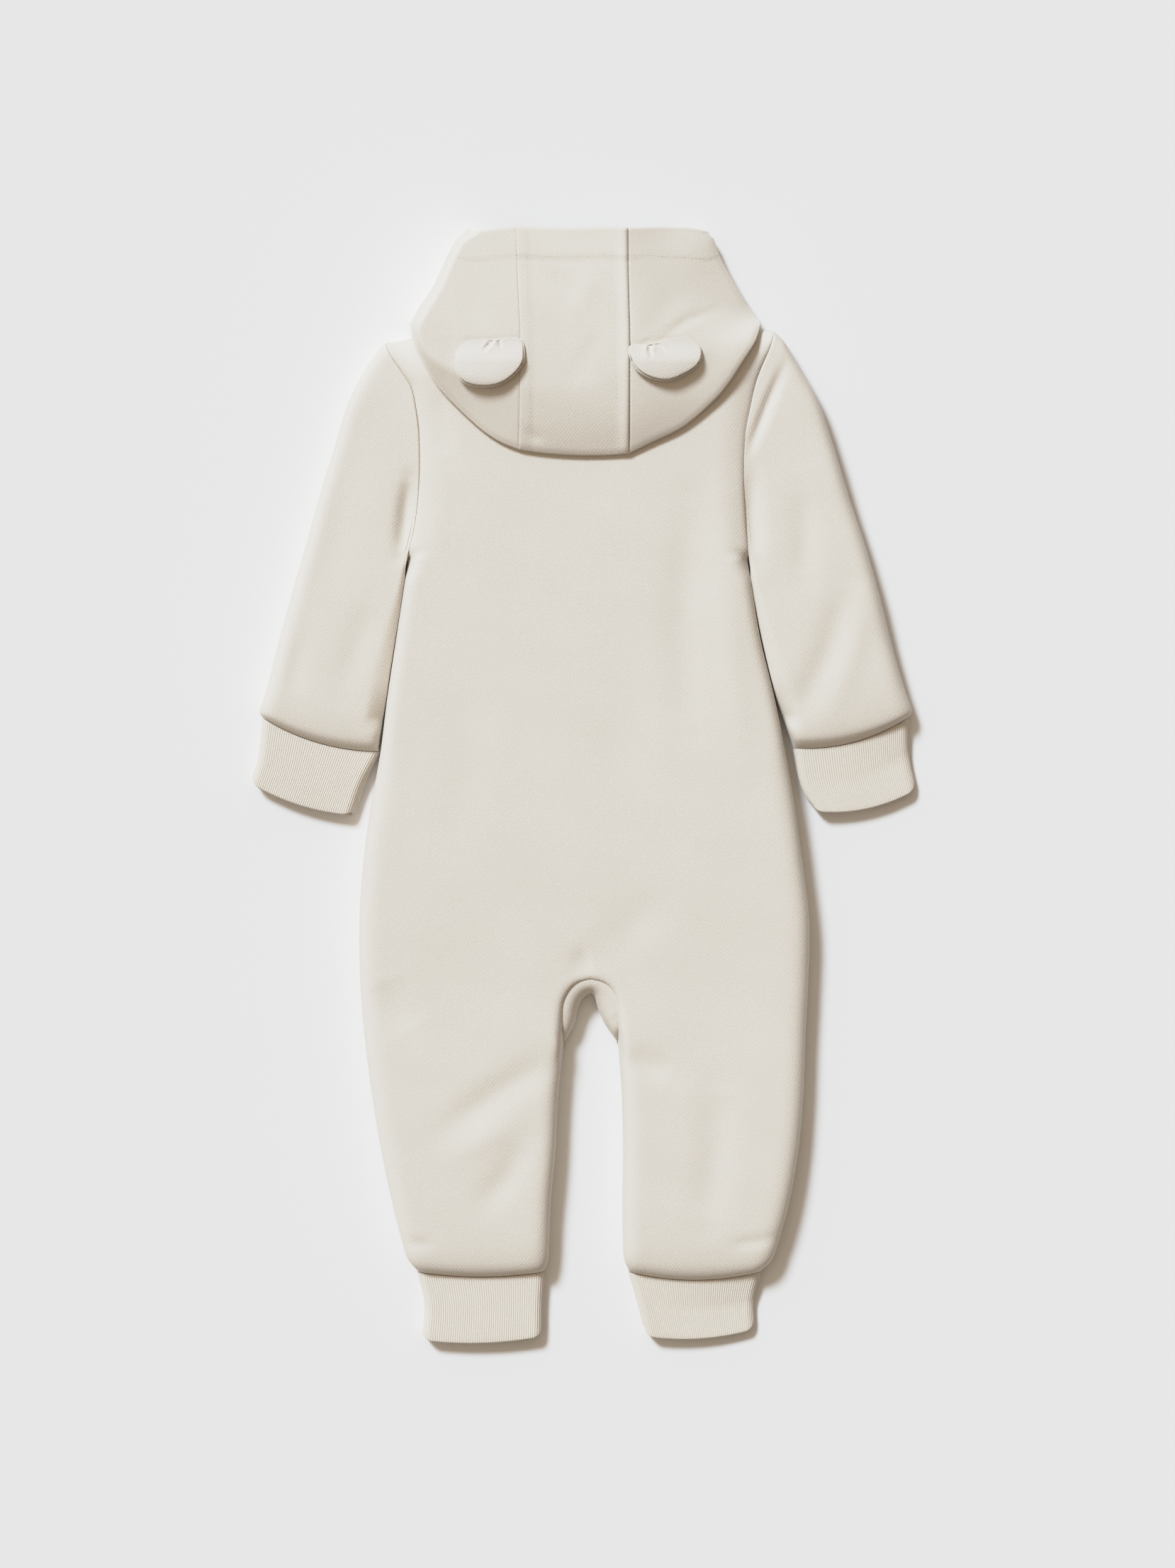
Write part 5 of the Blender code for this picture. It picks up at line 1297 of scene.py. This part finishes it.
def ear_layer(bed, side, layer):
    """One of an ear's two layers as rings, from the middle underneath round the rim to the middle on top."""
    size, shift, start, thick, dome = EAR_LAYERS[layer]
    rim = closed_path(EARS[side], EAR_POINTS)
    heart = rim.mean(axis=0)
    half = thick / 2
    steps = [(scale, -half, False) for scale in np.linspace(0.02, 0.93, 8)]
    reach = float(np.mean(np.linalg.norm(rim - heart, axis=1))) * size
    for angle in np.linspace(-90, 90, 9):
        turn = math.radians(angle)
        steps.append((1 - half * (1 - math.cos(turn)) / reach, half * math.sin(turn), False))
    steps += [(scale, half, True) for scale in 1 - (1 - np.cos(np.linspace(0.2, math.pi / 2, 30)))]
    rings = []
    for scale, offset, top in steps:
        place = heart + (rim - heart) * scale * size + np.array([side * 0.2, 0.6]) * shift
        hang = clip((EAR_TOP - place[:, 1]) / EAR_LENGTH)
        full = mix(0.25, 1.0, step(hang / 0.5))
        z = bed(*(place * 0.988).T) + LAYER_GAP + EAR_LIFT * step(hang) + (start + half + offset) * full
        if top:
            z = z + dome * full * roll((1 - scale) / 0.75)
            for x0, y0, x1, y1, x2, y2, width, deep in EAR_PLEATS[side]:
                away, along = away_from(((x0, y0), (x1, y1), (x2, y2)), place[:, 0], place[:, 1])
                fade = clip((2.0 - along) / 0.9) * clip((1 - scale) / 0.1)
                z = z - deep * fade * (bell(away / width) - 0.5 * bell((away - 2.2) / 1.4))
        rings.append(np.concatenate([place, z[:, None]], -1))
    return as_seen(np.array(rings))


# Topstitching ---------------------------------------------------------------------------------


STITCH_SEED = 7
# How much of a stitch's pitch shows as thread, and the thread's width and how deep it lies, in mm
STITCH_SHARE = 0.72
THREAD_WIDTH = 0.5
THREAD_SINK = 0.12


def stitch_tree():
    """Geometry nodes that lay short rounded stitches along a line."""
    found = bpy.data.node_groups.get("Topstitch")
    if found:
        return found
    tree, nodes, given, out = group_tree(
        "Topstitch", "GeometryNodeTree",
        (("Geometry", "NodeSocketGeometry", None), ("Pitch", "NodeSocketFloat", 0.0025),
         ("Stitch length", "NodeSocketFloat", 0.0018), ("Thread width", "NodeSocketFloat", 0.0005),
         ("Seed", "NodeSocketInt", STITCH_SEED), ("Thread", "NodeSocketMaterial", None)),
        (("Geometry", "NodeSocketGeometry"),),
    )
    line = nodes.add("GeometryNodeMeshToCurve", {0: given["Geometry"]}).outputs[0]
    spots = nodes.add("GeometryNodeResampleCurve", {"Curve": line, "Length": given["Pitch"]}, mode="LENGTH")
    bead = nodes.add("GeometryNodeMeshUVSphere", {"Segments": 10, "Rings": 6, "Radius": 0.5})
    along = nodes.add("GeometryNodeInputTangent").outputs[0]
    turn = nodes.add("FunctionNodeAlignEulerToVector", {"Vector": along}, axis="X")
    uneven = nodes.add("FunctionNodeRandomValue", {2: 0.86, 3: 1.12, "Seed": given["Seed"]}, data_type="FLOAT")
    length = nodes.math("MULTIPLY", given["Stitch length"], uneven.outputs[1])
    size = nodes.add("ShaderNodeCombineXYZ", {0: length, 1: given["Thread width"], 2: given["Thread width"]})
    laid = nodes.add("GeometryNodeInstanceOnPoints", {"Points": spots.outputs[0], "Instance": bead.outputs[0],
                                                      "Rotation": turn.outputs[0], "Scale": size.outputs[0]})
    real = nodes.add("GeometryNodeRealizeInstances", {0: laid.outputs[0]}).outputs[0]
    finish = nodes.add("GeometryNodeSetMaterial", {"Geometry": real, "Material": given["Thread"]})
    nodes.give(out, {0: finish.outputs[0]})
    return tree


def topstitch(name, points, pitch, length, width):
    """A row of stitches along points in millimetres, as a plain mesh."""
    mesh = bpy.data.meshes.new(name + " line")
    mesh.from_pydata((np.asarray(points) * MM).tolist(), [(k, k + 1) for k in range(len(points) - 1)], [])
    guide = put(name + " line", mesh)
    rule = guide.modifiers.new("Topstitch", "NODES")
    rule.node_group = stitch_tree()
    wanted = {
        "Pitch": pitch * MM, "Stitch length": length * MM, "Thread width": width * MM, "Seed": STITCH_SEED,
        "Thread": cloth_material("sewing thread"),
    }
    for item in rule.node_group.interface.items_tree:
        if item.in_out == "INPUT" and item.name in wanted:
            rule[item.identifier] = wanted[item.name]
    guide.update_tag()
    seen = guide.evaluated_get(bpy.context.evaluated_depsgraph_get())
    made = put(name, bpy.data.meshes.new_from_object(seen))
    guide.modifiers.remove(rule)
    bpy.data.objects.remove(guide)
    made.data.shade_smooth()
    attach(made, "root")


def on_cloth(names, places, sink):
    """Places from the picture as points on the cloth's surface, sunk a little into it."""
    surfaces = [surface_of(name) for name in names]
    eye, found = Vector((0, 0, CAMERA_HEIGHT)), []
    for x, y in places:
        hits = [surface.ray_cast(eye, (Vector((x, y, 0)) - eye).normalized())[0] for surface in surfaces]
        hits = [hit for hit in hits if hit]
        if hits:
            hit = max(hits, key=lambda h: h.z)
            found.append((hit.x, hit.y, hit.z - sink))
    return np.array(found)


# The front closure, hidden underneath ------------------------------------------------------

PLACKET_TOP = 276.0
PLACKET_LOW = -108.0
PLACKET_HEIGHT = 2.35
PLACKET_THICKNESS = 1.9
PLACKET_ROWS = 90
# The strip across: places from the garment's middle line, and how far each is raised by the lap underneath
PLACKET_ACROSS = ((-10.0, 0.0), (-9.0, 0.0), (-1.0, 0.0), (2.5, 1.5), (13.0, 1.5), (14.0, 1.5))
STUD_COUNT = 7
STUD_OFFSET = 8.2
STUD_MARGIN = 13.0
STUD_HEIGHT = 2.3
STUD_POINTS = 40
# A stud's section from its flat back, round its rim, to the middle of its dished face: radius and height
STUD_SECTION = (
    (0.05, 0.0), (3.9, 0.0), (4.4, 0.15), (4.5, 0.5), (4.4, 0.85), (4.0, 1.1), (3.4, 1.2), (2.7, 1.1),
    (2.3, 0.75), (1.8, 0.62), (0.9, 0.6), (0.05, 0.6),
)


def placket_grid():
    """A closed tube of points along the placket: its lower side, and back along the upper one."""
    rows = []
    for y in np.linspace(PLACKET_TOP, PLACKET_LOW, PLACKET_ROWS):
        low = [(middle(y) + x, y, PLACKET_HEIGHT + rise) for x, rise in PLACKET_ACROSS]
        rows.append(low + [(x, y, z + PLACKET_THICKNESS) for x, y, z in reversed(low)])
    return np.array(rows)


def stud_rings(x, y):
    """Rings of a pressed metal stud."""
    turns = np.linspace(0, math.tau, STUD_POINTS, endpoint=False)
    return np.array([
        np.stack([x + radius * np.cos(turns), y + radius * np.sin(turns), 0 * turns + STUD_HEIGHT + rise], -1)
        for radius, rise in STUD_SECTION
    ])


def capped(rings, turned=False):
    """Cloth of closed rings, with a point at each end to shut them."""
    cloth = Cloth()
    ends = [np.repeat(ring.mean(axis=0)[None], len(ring), axis=0) for ring in (rings[0], rings[-1])]
    cloth.add(np.concatenate([ends[:1], rings, ends[1:]]), turned=turned, ring=True)
    return cloth


# The stage --------------------------------------------------------------------------------------

FLOOR_HALF = 4.0
FLOOR_LEVEL = -0.0003
ROOM_TONE = (1.0, 0.78, 0.56, 1.0)
ROOM_STRENGTH = 0.2
CAMERA_PLACE = (0.0026, -0.0004, CAMERA_HEIGHT * MM)
CAMERA_LENS = 120.0
# Each light: the way it shines, its strength, its angle in degrees and its tone
LIGHTS = {
    "window": ((0.42, -0.57, -0.707), 3.27, 15.0, (0.774, 0.884, 1.0)),
    "bright wall": ((0.4, -0.42, -0.82), 0.95, 95.0, (1.0, 0.85, 0.68)),
}
# The picture's view curve, which holds its highlights down softly as a camera does: light given, light shown
HIGHLIGHTS = ((0.4, 0.4), (0.7, 0.7), (0.85, 0.775), (1.0, 0.83))


# Add-on ---------------------------------------------------------------------------------------


class OverallSizes(bpy.types.PropertyGroup):
    wall: bpy.props.FloatProperty(
        name="Cloth", description="Thickness of the fleece in mm", default=2.0, min=1.0, max=3.0)
    spacing: bpy.props.FloatProperty(
        name="Fineness", description="Distance between the cloth's points in mm", default=2.5, min=1.5, max=8.0)
    stitch: bpy.props.FloatProperty(
        name="Stitch", description="Length of a topstitch with its gap in mm", default=2.5, min=1.5, max=5.0)


class OverallColours(bpy.types.PropertyGroup):
    fleece: bpy.props.FloatVectorProperty(
        name="Fleece", description="Lightest tone of the brushed cloth", subtype="COLOR",
        default=(0.79, 0.735, 0.665))
    fleece_shade: bpy.props.FloatVectorProperty(
        name="Fleece shade", description="Tone between the fibres", subtype="COLOR", default=(0.69, 0.64, 0.56))
    ear: bpy.props.FloatVectorProperty(
        name="Ears", description="Lightest tone of the ears", subtype="COLOR", default=(0.775, 0.725, 0.662))
    ear_shade: bpy.props.FloatVectorProperty(
        name="Ears' shade", description="Tone between the ears' fibres", subtype="COLOR",
        default=(0.685, 0.635, 0.57))
    rib: bpy.props.FloatVectorProperty(
        name="Ribbing", description="Tone of the knitted cuffs", subtype="COLOR", default=(0.79, 0.735, 0.655))
    rib_shade: bpy.props.FloatVectorProperty(
        name="Ribbing shade", description="Tone between the stitches", subtype="COLOR", default=(0.68, 0.62, 0.54))
    thread: bpy.props.FloatVectorProperty(
        name="Thread", description="Tone of the sewing thread", subtype="COLOR", default=(0.8, 0.75, 0.67))
    floor: bpy.props.FloatVectorProperty(
        name="Floor", description="Tone of the pale floor", subtype="COLOR", default=(0.9, 0.9, 0.9))


FRONT_SPACING = 4.0
GUSSET_SPACING = 1.2
GUSSET_WALL = 1.8
HOOD_PANELS = ("cloth_hood_center", "cloth_hood_left", "cloth_hood_right")


class OVERALL_OT_body(bpy.types.Operator):
    """Make the back and the two fronts"""

    bl_idname = "overall.body"
    bl_label = "Body"

    def execute(self, context):
        sizes = context.scene.overall_sizes
        back = Cloth()
        for side in (-1, 1):
            back.add(back_half(side, sizes.spacing), turned=side < 0)
        finish_piece(back.make("cloth_back", sizes.wall), "back", fleece())
        for side in (-1, 1):
            front = Cloth()
            front.add(front_half(side, FRONT_SPACING), turned=side > 0)
            node = "front_" + SIDE_NAMES[side]
            finish_piece(front.make("cloth_" + node, sizes.wall), node, fleece())
        return {"FINISHED"}


class OVERALL_OT_sleeves(bpy.types.Operator):
    """Make the two sleeves"""

    bl_idname = "overall.sleeves"
    bl_label = "Sleeves"

    def execute(self, context):
        sizes = context.scene.overall_sizes
        for side in (-1, 1):
            node = "sleeve_" + SIDE_NAMES[side]
            sleeve = Cloth()
            sleeve.add(sleeve_grid(side, sizes.spacing), turned=side < 0, ring=True)
            made = sleeve.make("cloth_" + node, sizes.wall)
            finish_piece(made, node, fleece(node))
        return {"FINISHED"}


class OVERALL_OT_gusset(bpy.types.Operator):
    """Make the rolled gusset between the legs"""

    bl_idname = "overall.gusset"
    bl_label = "Gusset"

    def execute(self, context):
        gusset = Cloth()
        gusset.add(gusset_grid(GUSSET_SPACING), turned=True)
        made = gusset.make("cloth_crotch_gusset", GUSSET_WALL)
        finish_piece(made, "crotch_gusset", fleece())
        return {"FINISHED"}


class OVERALL_OT_cuffs(bpy.types.Operator):
    """Make the four ribbed cuffs"""

    bl_idname = "overall.cuffs"
    bl_label = "Cuffs"

    def execute(self, context):
        for name in CUFFS:
            cuff = Cloth()
            cuff.add(cuff_grid(name), turned=True, ring=True)
            made = cuff.close("knit_" + name)
            finish_piece(made, name, cloth_material("rib knit"))
        return {"FINISHED"}


class OVERALL_OT_hood(bpy.types.Operator):
    """Make the hood's middle panel and its two side panels"""

    bl_idname = "overall.hood"
    bl_label = "Hood"

    def execute(self, context):
        sizes = context.scene.overall_sizes
        under = ("cloth_back", "cloth_sleeve_left", "cloth_sleeve_right")
        hood = Hood(Bed(under, (-126.0, 190.0), (126.0, 345.0), reach=4.0, soften=4))
        for side, node, cut in ((0, "hood_center", (70.0, 225.0)), (-1, "hood_left", (190.0, 150.0)),
                                (1, "hood_right", (190.0, 150.0))):
            panel = Cloth()
            for grid in hood_panel(hood, side, sizes.spacing * 0.8):
                panel.add(as_seen(grid), turned=side >= 0)
            made = panel.make("cloth_" + node, sizes.wall)
            finish_piece(made, node, fleece(node))
        return {"FINISHED"}


class OVERALL_OT_ears(bpy.types.Operator):
    """Make the two layers of both ears"""

    bl_idname = "overall.ears"
    bl_label = "Ears"

    def execute(self, context):
        bed = Bed(HOOD_PANELS, (-90.0, 232.0), (86.0, 280.0), reach=2.0, soften=2)
        for side in (-1, 1):
            for layer in EAR_LAYERS:
                node = f"ear_{SIDE_NAMES[side]}_{layer}"
                made = capped(ear_layer(bed, side, layer)).close("cloth_" + node)
                finish_piece(made, node, cloth_material("ear fleece"))
        return {"FINISHED"}


class OVERALL_OT_stitching(bpy.types.Operator):
    """Lay the rows of topstitching on the hood's hem and along its middle panel"""

    bl_idname = "overall.stitching"
    bl_label = "Stitching"

    def execute(self, context):
        pitch = context.scene.overall_sizes.stitch
        for name, line in HOOD_STITCHES.items():
            points = on_cloth(HOOD_PANELS, Curve(line)(np.linspace(0, 1, 120)), THREAD_SINK)
            topstitch("thread_" + name, points, pitch, STITCH_SHARE * pitch, THREAD_WIDTH)
        return {"FINISHED"}


class OVERALL_OT_closure(bpy.types.Operator):
    """Make the placket strip and the press studs of the front closure"""

    bl_idname = "overall.closure"
    bl_label = "Closure"

    def execute(self, context):
        made = capped(placket_grid(), turned=True).close("cloth_front_placket")
        finish_piece(made, "front_placket", fleece())
        for k in range(STUD_COUNT):
            y = mix(PLACKET_TOP - STUD_MARGIN, PLACKET_LOW + STUD_MARGIN, k / (STUD_COUNT - 1))
            made = capped(stud_rings(middle(y) + STUD_OFFSET, y)).close(f"metal_press_stud_{k + 1}")
            made.data.materials.append(stud_metal())
            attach(made, "root")
            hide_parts(f"press_stud_{k + 1}")
        return {"FINISHED"}


class OVERALL_OT_stage(bpy.types.Operator):
    """Make the floor, the soft light and the camera straight above"""

    bl_idname = "overall.stage"
    bl_label = "Stage"

    def execute(self, context):
        scene = context.scene
        mesh = bpy.data.meshes.new("floor")
        turns = ((-1, -1), (1, -1), (1, 1), (-1, 1))
        mesh.from_pydata([(x * FLOOR_HALF, y * FLOOR_HALF, FLOOR_LEVEL) for x, y in turns], [], [(0, 1, 2, 3)])
        paper, nodes, shader = new_material("floor")
        nodes.give(shader, {"Base Color": colour_of("floor"), "Roughness": 0.95, "Specular IOR Level": 0.0})
        mesh.materials.append(paper)
        put("floor", mesh)

        world = bpy.data.worlds.new("soft room")
        world.use_nodes = True
        air = world.node_tree.nodes["Background"]
        Nodes(world.node_tree).give(air, {"Color": ROOM_TONE, "Strength": ROOM_STRENGTH})
        scene.world = world
        for name, (along, strength, width, colour) in LIGHTS.items():
            lamp = bpy.data.lights.new(name, "SUN")
            lamp.energy = strength
            lamp.angle = math.radians(width)
            lamp.color = colour
            light = put(name, lamp)
            light.rotation_euler = Vector(along).to_track_quat("-Z", "Y").to_euler()
            light.location = -2.0 * Vector(along)

        camera = bpy.data.cameras.new("camera")
        camera.lens = CAMERA_LENS
        camera.sensor_width = 36.0
        camera.clip_end = 50.0
        scene.camera = put("camera", camera)
        scene.camera.location = CAMERA_PLACE
        view = scene.view_settings
        view.view_transform = "Standard"
        view.use_curve_mapping = True
        tones = view.curve_mapping.curves[3].points
        for given, shown in HIGHLIGHTS[:-1]:
            tones.new(given, shown)
        tones[-1].location = HIGHLIGHTS[-1]
        view.curve_mapping.update()
        return {"FINISHED"}


class OVERALL_PT_panel(bpy.types.Panel):
    bl_label = "Hooded baby overall"
    bl_idname = "OVERALL_PT_panel"
    bl_space_type = "VIEW_3D"
    bl_region_type = "UI"
    bl_category = "Overall"

    def draw(self, context):
        layout = self.layout
        for group in (context.scene.overall_sizes, context.scene.overall_colours):
            for name in group.__annotations__:
                layout.prop(group, name)
        for operator in OPERATORS:
            layout.operator(operator.bl_idname)


OPERATORS = (
    OVERALL_OT_body, OVERALL_OT_sleeves, OVERALL_OT_gusset, OVERALL_OT_cuffs, OVERALL_OT_hood,
    OVERALL_OT_ears, OVERALL_OT_stitching, OVERALL_OT_closure, OVERALL_OT_stage,
)
CLASSES = (OverallSizes, OverallColours, *OPERATORS, OVERALL_PT_panel)


def register():
    for made in CLASSES:
        bpy.utils.register_class(made)
    bpy.types.Scene.overall_sizes = bpy.props.PointerProperty(type=OverallSizes)
    bpy.types.Scene.overall_colours = bpy.props.PointerProperty(type=OverallColours)


def unregister():
    del bpy.types.Scene.overall_sizes
    del bpy.types.Scene.overall_colours
    for made in reversed(CLASSES):
        bpy.utils.unregister_class(made)


def main():
    register()
    for operator in OPERATORS:
        group, name = operator.bl_idname.split(".")
        getattr(getattr(bpy.ops, group), name)()


if __name__ == "__main__":
    main()
